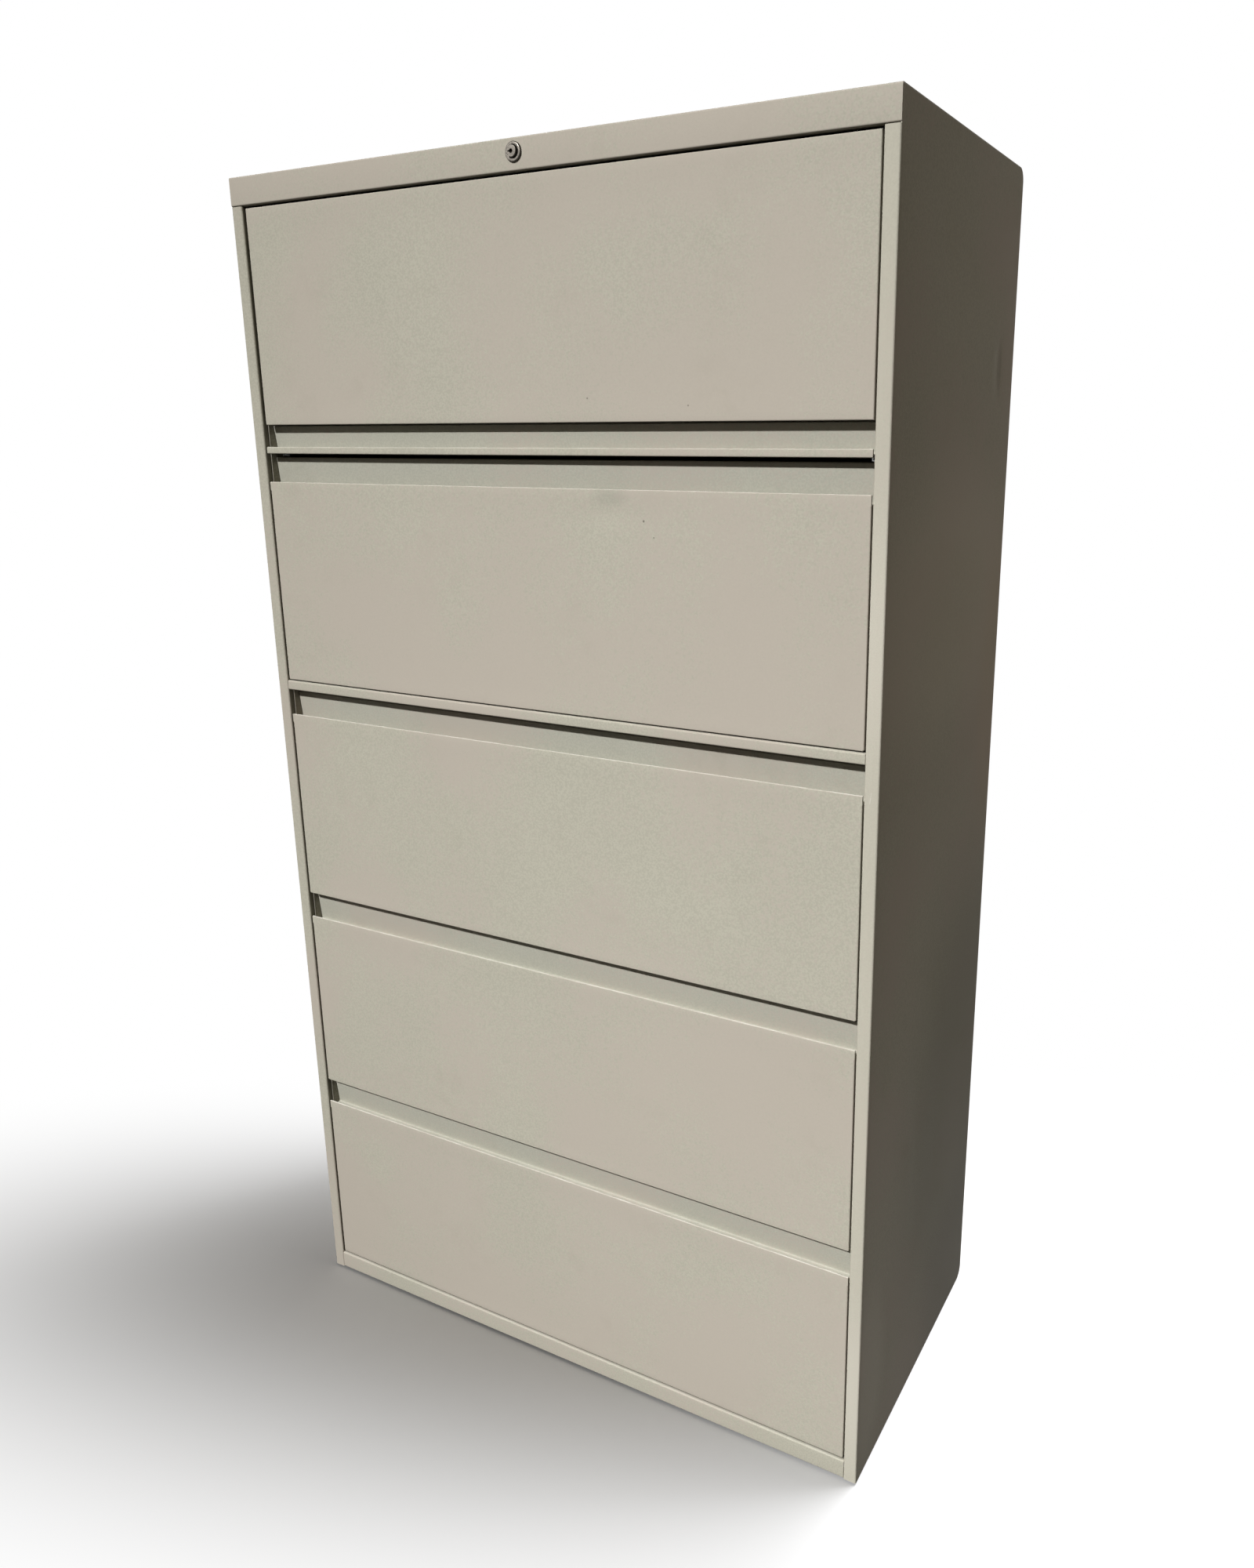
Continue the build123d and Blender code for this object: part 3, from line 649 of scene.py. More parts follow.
class Effects:
    """The shared effects: powder grain, handling, a dusting with a painted sheen, marks, scratches and
    rolled metal.
    """

    def __init__(self) -> None:
        """Builds every group once."""
        self.grain = self._grain()
        self.smudge = self._smudge()
        self.dust_and_sheen = self._dust_and_sheen()
        self.mark = self._mark()
        self.scratch = self._scratch()
        self.plating = self._plating()

    @staticmethod
    def _grain() -> bpy.types.NodeTree:
        """Orange peel of a powder coat: fine height, mottled tone, slow drift, patchy warmth.

        Returns:
            The node group.
        """
        made = Effect(
            "powder_grain",
            {"Peel": ("NodeSocketFloat", 420.0), "Drift": ("NodeSocketFloat", 4.5)},
            ("Height", "Mottle", "Drift", "Warmth"),
        )
        w = made.wiring
        place = w.place()
        made.put("Height", w.noise(place, made.given["Peel"], 2.0))
        made.put("Mottle", w.weighed(w.noise(place, 430.0, 1.0), 0.85, w.noise(place, 110.0, 2.0)))
        made.put("Drift", w.noise(place, made.given["Drift"], 1.0))
        shifted = w.vector("ADD", place, (3.7, 1.9, 5.3)).outputs[0]
        made.put("Warmth", w.weighed(w.noise(shifted, 5.0, 3.0), 0.6, w.noise(shifted, 240.0, 2.0)))
        return made.tree

    @staticmethod
    def _smudge() -> bpy.types.NodeTree:
        """Greasy handling: broad patches broken by finger-wide blots.

        Returns:
            The node group.
        """
        made = Effect("handling", {"Amount": ("NodeSocketFloat", 1.0)}, ("Mask",))
        w = made.wiring
        place = w.place()
        patch = w.spread(w.noise(place, 9.0, 2.0), 0.5, 0.72, 0.0, 1.0)
        blot = w.spread(w.noise(place, 55.0, 3.0), 0.42, 0.7, 0.15, 1.0)
        made.put("Mask", w.math("MULTIPLY", w.math("MULTIPLY", patch, blot), made.given["Amount"]))
        return made.tree

    @staticmethod
    def _dust_and_sheen() -> bpy.types.NodeTree:
        """Dust that lies where a face looks up, thinned by noise; the same mask carries a painted sheen
        there.

        Returns:
            The node group.
        """
        made = Effect("dust_and_sheen", {"Amount": ("NodeSocketFloat", 1.0)}, ("Mask",))
        w = made.wiring
        up = w.spread(w.facing()[2], 0.55, 0.98, 0.0, 1.0)
        cloud = w.spread(w.noise(w.place(), 38.0, 5.0), 0.3, 0.75, 0.25, 1.0)
        made.put("Mask", w.math("MULTIPLY", w.math("MULTIPLY", up, cloud), made.given["Amount"]))
        return made.tree

    @staticmethod
    def _mark() -> bpy.types.NodeTree:
        """Round blot about a point, one inside and nothing outside, with a soft and broken edge.

        Returns:
            The node group.
        """
        made = Effect(
            "mark",
            {
                "Middle": ("NodeSocketVector", (0.0, 0.0, 0.0)),
                "Radius": ("NodeSocketFloat", 0.002),
                "Stretch": ("NodeSocketVector", (1.0, 1.0, 1.0)),
            },
            ("Mask",),
        )
        w = made.wiring
        place = w.place()
        away = w.vector("SUBTRACT", place, made.given["Middle"]).outputs[0]
        away = w.vector("MULTIPLY", away, made.given["Stretch"]).outputs[0]
        reach = w.math("DIVIDE", w.length(away), made.given["Radius"])
        ragged = w.math("ADD", reach, w.math("MULTIPLY", w.noise(place, 700.0, 2.0), 0.6))
        made.put("Mask", w.spread(ragged, 0.7, 1.5, 1.0, 0.0))
        return made.tree

    @staticmethod
    def _scratch() -> bpy.types.NodeTree:
        """Thin line from a point along a vector: distance to the nearest point of that line.

        Returns:
            The node group.
        """
        made = Effect(
            "scratch",
            {
                "Start": ("NodeSocketVector", (0.0, 0.0, 0.0)),
                "Run": ("NodeSocketVector", (0.0, 0.0, 0.1)),
                "Width": ("NodeSocketFloat", 0.0006),
            },
            ("Mask",),
        )
        w = made.wiring
        place, run = w.place(), made.given["Run"]
        away = w.vector("SUBTRACT", place, made.given["Start"]).outputs[0]
        along = w.vector("DOT_PRODUCT", away, run).outputs["Value"]
        whole = w.vector("DOT_PRODUCT", run, run).outputs["Value"]
        share = w.math("DIVIDE", along, whole, clamp=True)
        nearest = w.node("ShaderNodeVectorMath", operation="SCALE")
        w.join(run, nearest.inputs[0])
        w.join(share, nearest.inputs["Scale"])
        off = w.vector("SUBTRACT", away, nearest.outputs[0]).outputs[0]
        reach = w.math("DIVIDE", w.length(off), made.given["Width"])
        line = w.spread(reach, 0.5, 1.4, 1.0, 0.0)
        broken = w.spread(w.noise(place, 240.0, 2.0), 0.35, 0.6, 0.1, 1.0)
        made.put("Mask", w.math("MULTIPLY", line, broken))
        return made.tree

    @staticmethod
    def _plating() -> bpy.types.NodeTree:
        """Rolled and plated steel: streaks along the sheet, cloudy spangle, and a few dull spots.

        Returns:
            The node group.
        """
        made = Effect(
            "plating",
            {"Streaks": ("NodeSocketVector", (700.0, 30.0, 700.0))},
            ("Streak", "Cloud", "Spots"),
        )
        w = made.wiring
        place = w.place()
        drawn = w.vector("MULTIPLY", place, made.given["Streaks"]).outputs[0]
        made.put("Streak", w.noise(drawn, 1.0, 3.0))
        made.put("Cloud", w.noise(place, 26.0, 3.0))
        made.put("Spots", w.spread(w.noise(place, 130.0, 4.0), 0.6, 0.78, 0.0, 1.0))
        return made.tree


# ---------------------------------------------------------------- finishes
@dataclass(frozen=True)
class ColourMark:
    """One mark on the coat: a blot about a point, or a scratch where it has a run; some blots are
    painted reflections and painted shade.
    """

    start: Point
    size: float
    color: Color
    share: float = 1.0
    stretch: Point = (1.0, 1.0, 1.0)
    run: Point | None = None


def blank(name: str) -> tuple[bpy.types.Material, Wiring, bpy.types.Node]:
    """A new material with its wiring and its Principled shader.

    Args:
        name: Name of the material.

    Returns:
        The material, its wiring and its shader.
    """
    material = bpy.data.materials.new(name)
    material.use_nodes = True
    material.node_tree.nodes.clear()
    wiring = Wiring(material.node_tree)
    shader = wiring.node("ShaderNodeBsdfPrincipled")
    output = wiring.node("ShaderNodeOutputMaterial")
    wiring.join(shader.outputs[0], output.inputs[0])
    return material, wiring, shader


@dataclass(frozen=True)
class PowderCoat:
    """Satin powder coat on sheet steel, warm grey with a fine orange peel; painted shade and painted
    highlights go into its colour.
    """

    effects: Effects
    light: Color = (0.512, 0.495, 0.408)
    dark: Color = (0.444, 0.429, 0.353)
    warm: Color = (0.502, 0.452, 0.388)
    # faded: lighter tone painted on faces that look to the front, a painted highlight on the right
    # stile's face
    faded: Color = (0.585, 0.560, 0.470)
    dirt: Color = (0.30, 0.27, 0.21)
    # Light tone on faces that look up: a dusting, and on the fronts' lips a painted highlight as well
    dust_and_sheen: Color = (0.76, 0.74, 0.67)
    # Dark tone of painted shade, on faces that look down and on faces inside the gaps
    painted_shade: Color = (0.13, 0.12, 0.095)
    roughness: float = 0.44
    dirt_and_shade_share: float = 0.10
    dust_and_sheen_share: float = 0.9
    dulled: tuple[float, float] = (0.10, 0.22)
    peel: float = 0.10 * MM

    def build(
        self,
        name: str,
        colour_marks: tuple[ColourMark, ...] = (),
        handled: float = 1.0,
        gloss: float = 0.06,
        recess: float | None = None,
        front_highlight: float = 0.0,
        dust_and_sheen_amount: float = 0.25,
        blushed: float = 0.0,
    ) -> bpy.types.Material:
        """Builds the coat, with the marks of one piece.

        Args:
            name: Name of the material.
            colour_marks: Marks on this piece: specks and scratches, and on some pieces blots of painted
                reflection and painted shade.
            handled: How much the piece is touched.
            gloss: Specular level of the coat.
            recess: Depth behind which faces inside the gaps get painted shade, if there is any.
            front_highlight: Share of the lighter tone painted as a highlight on faces that look to the
                front.
            dust_and_sheen_amount: How much dusting, rubbing and painted highlight there is on faces that
                look up.
            blushed: How far the coat has gone from its greenish to its pinkish tone.

        Returns:
            The material.
        """
        material, w, shader = blank(name)
        grain = w.use(self.effects.grain)
        smudge = w.use(self.effects.smudge, Amount=handled).outputs["Mask"]
        dust_and_sheen = w.use(self.effects.dust_and_sheen, Amount=dust_and_sheen_amount).outputs["Mask"]
        tone = w.spread(grain.outputs["Mottle"], 0.38, 0.62, 0.0, 0.75)
        slow = w.spread(grain.outputs["Drift"], 0.3, 0.7, 0.0, 0.25)
        color = w.mix(w.math("ADD", tone, slow), self.dark, self.light)
        blush = w.spread(grain.outputs["Warmth"], 0.42 - blushed, 0.60 - blushed, 0.0, 0.85)
        color = w.mix(blush, color, self.warm)
        # Painted highlight: faces that look to the front are lightened
        if front_highlight > 0:
            color = w.mix(self._frontal(w, front_highlight), color, self.faded)
        color = w.mix(w.math("MULTIPLY", smudge, self.dirt_and_shade_share), color, self.dirt)
        # Lighter tone on faces that look up: a dusting, partly a painted highlight
        color = w.mix(w.math("MULTIPLY", dust_and_sheen, self.dust_and_sheen_share), color, self.dust_and_sheen)
        for colour_mark in colour_marks:
            color = w.mix(self._mask(w, colour_mark), color, colour_mark.color)
        # Painted shade on the faces inside the gaps
        if recess is not None:
            color = w.mix(self._inward(w, recess), color, self.painted_shade)
        # Painted shade on faces that look down
        color = w.mix(self._under(w), color, self.painted_shade)
        w.join(color, shader.inputs["Base Color"])
        rough = w.spread(grain.outputs["Mottle"], 0.3, 0.7, -0.03, 0.03)
        for mask, share in zip((smudge, dust_and_sheen), self.dulled):
            rough = w.math("ADD", rough, w.math("MULTIPLY", mask, share))
        w.join(w.math("ADD", rough, self.roughness), shader.inputs["Roughness"])
        w.join(w.bump(grain.outputs["Height"], 0.5, self.peel), shader.inputs["Normal"])
        shader.inputs["Specular IOR Level"].default_value = gloss
        return material

    @staticmethod
    def _frontal(w: Wiring, share: float) -> bpy.types.NodeSocket:
        """Share of the painted highlight on faces that look to the front, and nothing where they turn
        away from it.
        """
        return w.spread(w.facing()[1], -0.95, -0.6, share, 0.0)

    @staticmethod
    def _under(w: Wiring) -> bpy.types.NodeSocket:
        """Share of painted shade on faces that look down, and nothing where a fold begins to turn up."""
        return w.spread(w.facing()[2], -0.9, -0.35, 0.9, 0.0)

    @staticmethod
    def _inward(w: Wiring, recess: float) -> bpy.types.NodeSocket:
        """Share of painted shade where a face behind a depth looks to the middle of the case or up: the
        gaps' own faces.

        Args:
            w: Wiring of the material's nodes.
            recess: Depth behind which it starts, in the frame.

        Returns:
            The share.
        """
        place, facing = w.axes(w.place()), w.facing()
        outwards = w.math("MULTIPLY", facing[0], w.math("SIGN", place[0]))
        inwards = w.math("MULTIPLY", outwards, -1.0)
        faced = w.math("MAXIMUM", inwards, facing[2])
        behind = w.spread(place[1], recess, recess + 3.0 * MM, 0.0, 1.0)
        return w.math("MULTIPLY", w.spread(faced, 0.3, 0.8, 0.0, 0.75), behind)

    def _mask(self, w: Wiring, colour_mark: ColourMark) -> bpy.types.NodeSocket:
        """Where a mark lies, and how strong it is.

        Args:
            w: Wiring of the material's nodes.
            colour_mark: The mark.

        Returns:
            Its share at each point.
        """
        if colour_mark.run is None:
            made = w.use(
                self.effects.mark, Middle=colour_mark.start, Radius=colour_mark.size, Stretch=colour_mark.stretch
            )
        else:
            made = w.use(
                self.effects.scratch, Start=colour_mark.start, Run=colour_mark.run, Width=colour_mark.size
            )
        return w.math("MULTIPLY", made.outputs["Mask"], colour_mark.share)


@dataclass(frozen=True)
class ZincPlate:
    """Bright zinc on pressed steel, with rolling streaks and a cloudy bloom."""

    effects: Effects
    light: Color = (0.62, 0.62, 0.60)
    dark: Color = (0.40, 0.41, 0.41)
    bloom: Color = (0.50, 0.49, 0.45)
    roughness: float = 0.34

    def build(self, name: str, streaks: Point) -> bpy.types.Material:
        """Builds the plating with its streaks along the longest way of the piece.

        Args:
            name: Name of the material.
            streaks: Streaks to the metre along each axis.

        Returns:
            The material.
        """
        material, w, shader = blank(name)
        plate = w.use(self.effects.plating, Streaks=streaks)
        streak, cloud = plate.outputs["Streak"], plate.outputs["Cloud"]
        color = w.mix(w.spread(streak, 0.3, 0.7, 0.0, 1.0), self.dark, self.light)
        color = w.mix(w.spread(cloud, 0.45, 0.7, 0.0, 0.6), color, self.bloom)
        w.join(color, shader.inputs["Base Color"])
        rough = w.math("ADD", w.spread(cloud, 0.3, 0.7, 0.0, 0.16), self.roughness)
        rough = w.math("ADD", rough, w.math("MULTIPLY", plate.outputs["Spots"], 0.12))
        w.join(rough, shader.inputs["Roughness"])
        w.join(w.bump(streak, 0.25, 0.03 * MM), shader.inputs["Normal"])
        shader.inputs["Metallic"].default_value = 1.0
        return material


@dataclass(frozen=True)
class LockSteel:
    """Satin nickel on the lock: fine turning marks, with painted shade in the groove, at the rim and in
    the keyway.
    """

    effects: Effects
    light: Color = (0.34, 0.31, 0.27)
    dark: Color = (0.19, 0.172, 0.147)
    # Near-black painted shade for the keyway, the groove and the rim
    painted_shade: Color = (0.020, 0.018, 0.015)
    roughness: float = 0.30
    dirt_and_shade_share: float = 0.85
    # Rings of painted shade: keyway, groove and rolled rim
    rings: tuple[tuple[float, float, float], ...] = (
        (0.0, 2.3 * MM, 0.4 * MM),
        (6.15 * MM, 7.45 * MM, 0.25 * MM),
        (10.1 * MM, 12.0 * MM, 0.5 * MM),
    )

    def build(self, name: str, middle: Point) -> bpy.types.Material:
        """Builds the nickel of a lock about a middle.

        Painted shade, standing for the shade in the keyway, the groove and at the rolled rim, lies where
        the distance from the lock's axis is inside one of the rings, each with its inner and outer
        radius and its soft edge.

        Args:
            name: Name of the material.
            middle: A point on the axis of the lock.

        Returns:
            The material.
        """
        material, w, shader = blank(name)
        plate = w.use(self.effects.plating, Streaks=(900.0, 4000.0, 900.0))
        streak = w.spread(plate.outputs["Streak"], 0.3, 0.7, 0.0, 1.0)
        color = w.mix(streak, self.dark, self.light)
        away = w.vector("SUBTRACT", w.place(), middle).outputs[0]
        flat = w.vector("MULTIPLY", away, (1.0, 0.0, 1.0)).outputs[0]
        reach = w.length(flat)
        shade_rings = 0.0
        for low, high, edge in self.rings:
            inside = w.math(
                "MULTIPLY",
                w.spread(reach, low - edge, low, 0.0, 1.0),
                w.spread(reach, high, high + edge, 1.0, 0.0),
            )
            shade_rings = w.math("MAXIMUM", shade_rings, inside)
        # Painted shade in the keyway, the groove and at the rim
        color = w.mix(w.math("MULTIPLY", shade_rings, self.dirt_and_shade_share), color, self.painted_shade)
        w.join(color, shader.inputs["Base Color"])
        grain = w.noise(w.place(), 2200.0, 2.0)
        rough = w.math("ADD", w.spread(grain, 0.3, 0.7, 0.0, 0.14), self.roughness)
        w.join(rough, shader.inputs["Roughness"])
        w.join(w.bump(grain, 0.2, 0.02 * MM), shader.inputs["Normal"])
        shader.inputs["Metallic"].default_value = 1.0
        return material


@dataclass(frozen=True)
class StudioFloor:
    """Pale floor that keeps the cabinet's shadow and fades to white away from it."""

    middle: Point = (0.30, 0.12, 0.0)
    turn: float = 0.44
    halves: Point = (1.66, 0.516, 1.0)
    near: float = 0.27
    far: float = 1.39
    least: float = 0.06
    seen: Color = (0.85, 0.8602, 0.87975)
    bounced: Color = (0.10, 0.10, 0.098)

    def build(self, name: str) -> bpy.types.Material:
        """Builds the floor: a plain coat near the cabinet, white light further off.

        Args:
            name: Name of the material.

        Returns:
            The material.
        """
        material = bpy.data.materials.new(name)
        material.use_nodes = True
        material.node_tree.nodes.clear()
        w = Wiring(material.node_tree)
        oval = w.node("ShaderNodeMapping")
        oval.vector_type = "TEXTURE"
        oval.inputs["Location"].default_value = self.middle
        oval.inputs["Rotation"].default_value = (0.0, 0.0, self.turn)
        oval.inputs["Scale"].default_value = self.halves
        w.join(w.place(), oval.inputs["Vector"])
        faded = w.spread(w.length(oval.outputs[0]), self.near, self.far, self.least, 1.0)
        white = w.node("ShaderNodeEmission")
        coat = w.node("ShaderNodeBsdfDiffuse")
        coat.inputs[0].default_value = (*self.seen, 1.0)
        bounce = w.node("ShaderNodeBsdfDiffuse")
        bounce.inputs[0].default_value = (*self.bounced, 1.0)
        shown = w.node("ShaderNodeMixShader")
        w.join(faded, shown.inputs[0])
        w.join(coat.outputs[0], shown.inputs[1])
        w.join(white.outputs[0], shown.inputs[2])
        both = w.node("ShaderNodeMixShader")
        w.join(seen_directly(w), both.inputs[0])
        w.join(bounce.outputs[0], both.inputs[1])
        w.join(shown.outputs[0], both.inputs[2])
        output = w.node("ShaderNodeOutputMaterial")
        w.join(both.outputs[0], output.inputs[0])
        return material


def seen_directly(w: Wiring) -> bpy.types.NodeSocket:
    """One for rays from the eye, from gloss and through glass, and nothing for the rest.

    Args:
        w: Wiring of the nodes that ask.

    Returns:
        The one or nothing.
    """
    path = w.node("ShaderNodeLightPath").outputs
    glossy = w.math("ADD", path["Is Glossy Ray"], path["Is Transmission Ray"])
    return w.math("ADD", path["Is Camera Ray"], glossy, clamp=True)


@dataclass(frozen=True)
class Finishes:
    """Every finish of the cabinet."""

    coat: PowderCoat
    pull: bpy.types.Material
    inside: bpy.types.Material
    shaded_posts: bpy.types.Material
    zinc_deep: bpy.types.Material
    zinc_wide: bpy.types.Material
    zinc_tall: bpy.types.Material
    lock: bpy.types.Material
    works: bpy.types.Material


def middle_of(name: str) -> Point:
    """Middle of a node's box."""
    low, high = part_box(name)
    return tuple((low + high) / 2)


def make_finishes() -> Finishes:
    """Builds the finishes that several pieces share.

    Returns:
        The finishes.
    """
    effects = Effects()
    coat = PowderCoat(effects)
    zinc = ZincPlate(effects)
    return Finishes(
        coat=coat,
        pull=PowderCoat(
            effects, light=(0.474, 0.468, 0.396), dark=(0.424, 0.419, 0.355), warm=(0.470, 0.430, 0.37)
        ).build("coat_pulls", handled=1.6),
        inside=coat.build("powder_coat_inside", handled=0.3),
        # Darker coat for the posts: painted shade, for the posts seen in the gaps at the ends of the
        # pulls
        shaded_posts=PowderCoat(
            effects, light=(0.30, 0.285, 0.235), dark=(0.22, 0.21, 0.17), warm=(0.27, 0.24, 0.195)
        ).build("coat_posts_painted_shade", handled=0.6),
        zinc_deep=zinc.build("zinc_rolled_deep", (600.0, 14.0, 600.0)),
        zinc_wide=zinc.build("zinc_rolled_wide", (14.0, 600.0, 600.0)),
        zinc_tall=zinc.build("zinc_rolled_tall", (600.0, 600.0, 14.0)),
        lock=LockSteel(effects).build("satin_nickel", middle_of("lock_barrel")),
        works=zinc.build("zinc_turned", (300.0, 300.0, 300.0)),
    )


# ---------------------------------------------------------------- case
@dataclass
class CaseShell:
    """Painted outside of the cabinet: two sides with their stiles, top, back and cross rails."""

    finishes: Finishes
    gauge: float = 1.2 * MM
    fold: float = 2.2 * MM
    rear_radius: float = 16.0 * MM
    stile_width: float = 17.5 * MM
    stile_return: float = 9.5 * MM
    stile_lip: float = 8.0 * MM
    still_front: float = 38.0 * MM
    spacing: float = 14.0 * MM
    seam: float = 0.6 * MM
    rear_foot: float = 30.0 * MM
    header_return: float = 13.0 * MM
    header_lip: float = 7.0 * MM
    door_gap: float = 2.8 * MM
    rear_skirt: float = 40.0 * MM
    bead_depth: float = 3.0 * MM
    bead_half: float = 8.0 * MM
    bead_ramp: float = 8.0 * MM
    bead_end: float = 10.0 * MM
    top_sag: float = 0.5 * MM
    back_sag: float = 0.35 * MM
    header_wave: float = 0.12 * MM
    rail_wave: float = 0.10 * MM
    rail_inset: float = 19.0 * MM
    wave: float = 0.28 * MM
    side_gloss: float = 0.008
    side_wear: tuple[Dent | Crease, ...] = (
        Dent(0.160, 1.400, 13 * MM, 30 * MM, 1.5 * MM),
        Dent(0.138, 1.404, 11 * MM, 34 * MM, -0.6 * MM),
        Crease(-0.0174, 0.2195, -0.12352, 0.18, 0.58, 90 * MM, 11 * MM, 0.55 * MM),
    )

    def __post_init__(self) -> None:
        """Reads the places of the case from the frame."""
        low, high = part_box("right_side")
        cap_low, cap_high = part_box("top_cap")
        self.half = high.x
        self.front, self.back = cap_low.y, cap_high.y
        self.foot = low.z
        self.header_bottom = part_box("door_panel")[1].z + self.door_gap
        self.top = cap_high.z

    def build(self) -> None:
        """Builds and dresses every sheet of the case."""
        self._sides()
        self._top()
        self._back()
        self._rails()
        dress(frame["nodes"]["base_pan"], self.finishes.inside)
        # The posts get the darker coat of painted shade
        for name in ("front_posts", "rear_posts"):
            dress(frame["nodes"][name], self.finishes.shaded_posts)

    def _bulge(self, points: np.ndarray, wear: tuple[Dent | Crease, ...], seed: int) -> np.ndarray:
        """Side sheet pushed out by slow waves and in by its dents and creases.

        x moves by 1.6 wave * ripple less the depth of each dent and crease, all faded out near the
        sheet's edges.

        Args:
            points: Points of the sheet, one row each.
            wear: Dents and creases of the sheet.
            seed: Number that its waves are drawn from.

        Returns:
            The points, moved.
        """
        y, z = points[:, 1], points[:, 2]
        on = points[:, 0] > self.half - 2.5 * self.gauge
        fade = window(y, self.front + 12 * MM, self.back - 20 * MM, FADE)
        fade *= window(z, self.foot + 10 * MM, self.header_bottom - 4 * MM, 60 * MM)
        push = 1.6 * self.wave * ripple(y, z, seed)
        for mark in wear:
            push -= mark.push(y, z)
        moved = points.copy()
        moved[:, 0] += np.where(on, push * fade, 0.0)
        return moved

    def _side_shells(self, wear: tuple[Dent | Crease, ...], seed: int) -> list[Shell]:
        """Right-hand side: stile and side in one folded sheet, and the part behind the header.

        The sheet's path runs round the stile and back along the side. At each height its last leg
        is stretched to end where the outline's rear edge is: at the foot's step, round a corner by
        r - sqrt(r^2 - d^2), or straight.

        Args:
            wear: Dents and creases of the sheet.
            seed: Number that its waves are drawn from.

        Returns:
            The lower and the upper part.
        """
        inside, radius = self.gauge, self.rear_radius - self.gauge
        low_end, high_end = self.foot + inside + radius, self.top - inside - radius
        end = self.back - inside
        step = self.back - self.rear_foot - self.seam
        start = self.front + self.still_front
        joint = self.header_bottom - self.seam
        turn = np.linspace(0, pi / 2, 13)
        corners = np.array(
            [
                [self.half - self.stile_width + self.stile_lip, self.front + self.stile_return],
                [self.half - self.stile_width, self.front + self.stile_return],
                [self.half - self.stile_width, self.front],
                [self.half, self.front],
                [self.half, self.back],
            ]
        )
        path = divided(rounded_path(corners, [self.fold] * 3, 8), self.spacing)
        lower = np.concatenate(
            [
                [self.foot, self.foot + inside - 0.01 * MM],
                low_end - radius * np.cos(turn),
                stations(low_end, joint, self.spacing)[1:],
            ]
        )
        upper = np.concatenate(
            [stations(joint, high_end, 11 * MM), high_end + radius * np.sin(turn)[1:]]
        )
        edge = np.array([[self.half, self.front + inside], [self.half, self.back]])
        strip = divided(rounded_path(edge, [], 1), self.spacing)
        main = sheet(path, self.gauge, Metal.LEFT, lower, Lay.ALONG_Z)
        cap = sheet(strip, self.gauge, Metal.LEFT, upper, Lay.ALONG_Z)

        def trimmed(points: np.ndarray) -> np.ndarray:
            """Ends each row of the side where the outline has its rear edge.

            Args:
                points: Points of the sheet, one row each.

            Returns:
                The points, moved.
            """
            z = points[:, 2]
            depth = np.clip(np.maximum(low_end - z, z - high_end), 0, radius)
            edge = end - (radius - np.sqrt(radius**2 - depth**2))
            edge = np.where(z < self.foot + inside - 0.005 * MM, step, edge)
            share = np.clip((points[:, 1] - start) / (self.back - start), 0, None)
            moved = points.copy()
            on = share > 0
            moved[on, 1] = (start + share * (edge - start))[on]
            return moved

        return [
            shell.moved(trimmed).moved(lambda points: self._bulge(points, wear, seed))
            for shell in (main, cap)
        ]

    def _sides(self) -> None:
        """Both side sheets, each with its own waves."""
        half, front = self.half, self.front
        # Two scratches, and blots of painted light on the right side
        scratches_and_painted_light = (
            ColourMark(
                (half - 0.0102, front, 0.928), 0.6 * MM, (0.66, 0.63, 0.56), 0.8, run=(0.001, 0, 0.012)
            ),
            # Painted reflections: lighter blots where the side mirrors its surroundings
            ColourMark((half, 0.0, 1.12), 0.19, (0.80, 0.76, 0.66), 0.34, (1.0, 0.55, 1.0)),
            ColourMark((half, 0.215, 0.98), 0.115, (0.62, 0.50, 0.37), 0.20, (1.0, 1.6, 0.5)),
            ColourMark((half, -0.033, 1.07), 0.075, (0.60, 0.56, 0.47), 0.22, (1.0, 1.3, 0.7)),
            # Painted shade round the dent
            ColourMark((half, 0.166, 1.402), 0.022, (0.28, 0.26, 0.21), 0.38, (1.0, 2.4, 0.6)),
            ColourMark((half, 0.09, 0.62), 0.5 * MM, (0.60, 0.57, 0.50), 0.5, run=(0, 0.05, -0.035)),
            # Painted shade: two dark blots, darker towards the bottom rear
            ColourMark((half, 0.20, 0.34), 0.30, (0.22, 0.21, 0.16), 0.66, (1.0, 0.9, 0.62)),
            ColourMark((half, 0.20, 0.08), 0.17, (0.22, 0.20, 0.165), 0.45, (1.0, 0.9, 1.0)),
            # Painted reflection: a light blot low at the front
            ColourMark((half, -0.20, 0.14), 0.09, (0.66, 0.63, 0.55), 0.45, (1.0, 1.3, 0.6)),
        )
        build, recess = self.finishes.coat.build, front + 1.5 * MM
        right = make_piece("right_side_sheet", self._side_shells(self.side_wear, 11))
        # The right side's coat: the blots above, a painted highlight on faces that look to the front,
        # painted shade in the gaps
        coat = build("coat_right_side", scratches_and_painted_light, 0.6, self.side_gloss, recess, front_highlight=0.55)
        settle(right, "case", coat, ("right_side",))
        left = make_piece("left_side_sheet", [shell.mirrored() for shell in self._side_shells((), 12)])
        # Painted shade in the gaps behind the front
        coat = build("coat_left_side", (), 0.8, self.side_gloss, recess)
        settle(left, "case", coat, ("left_side",))

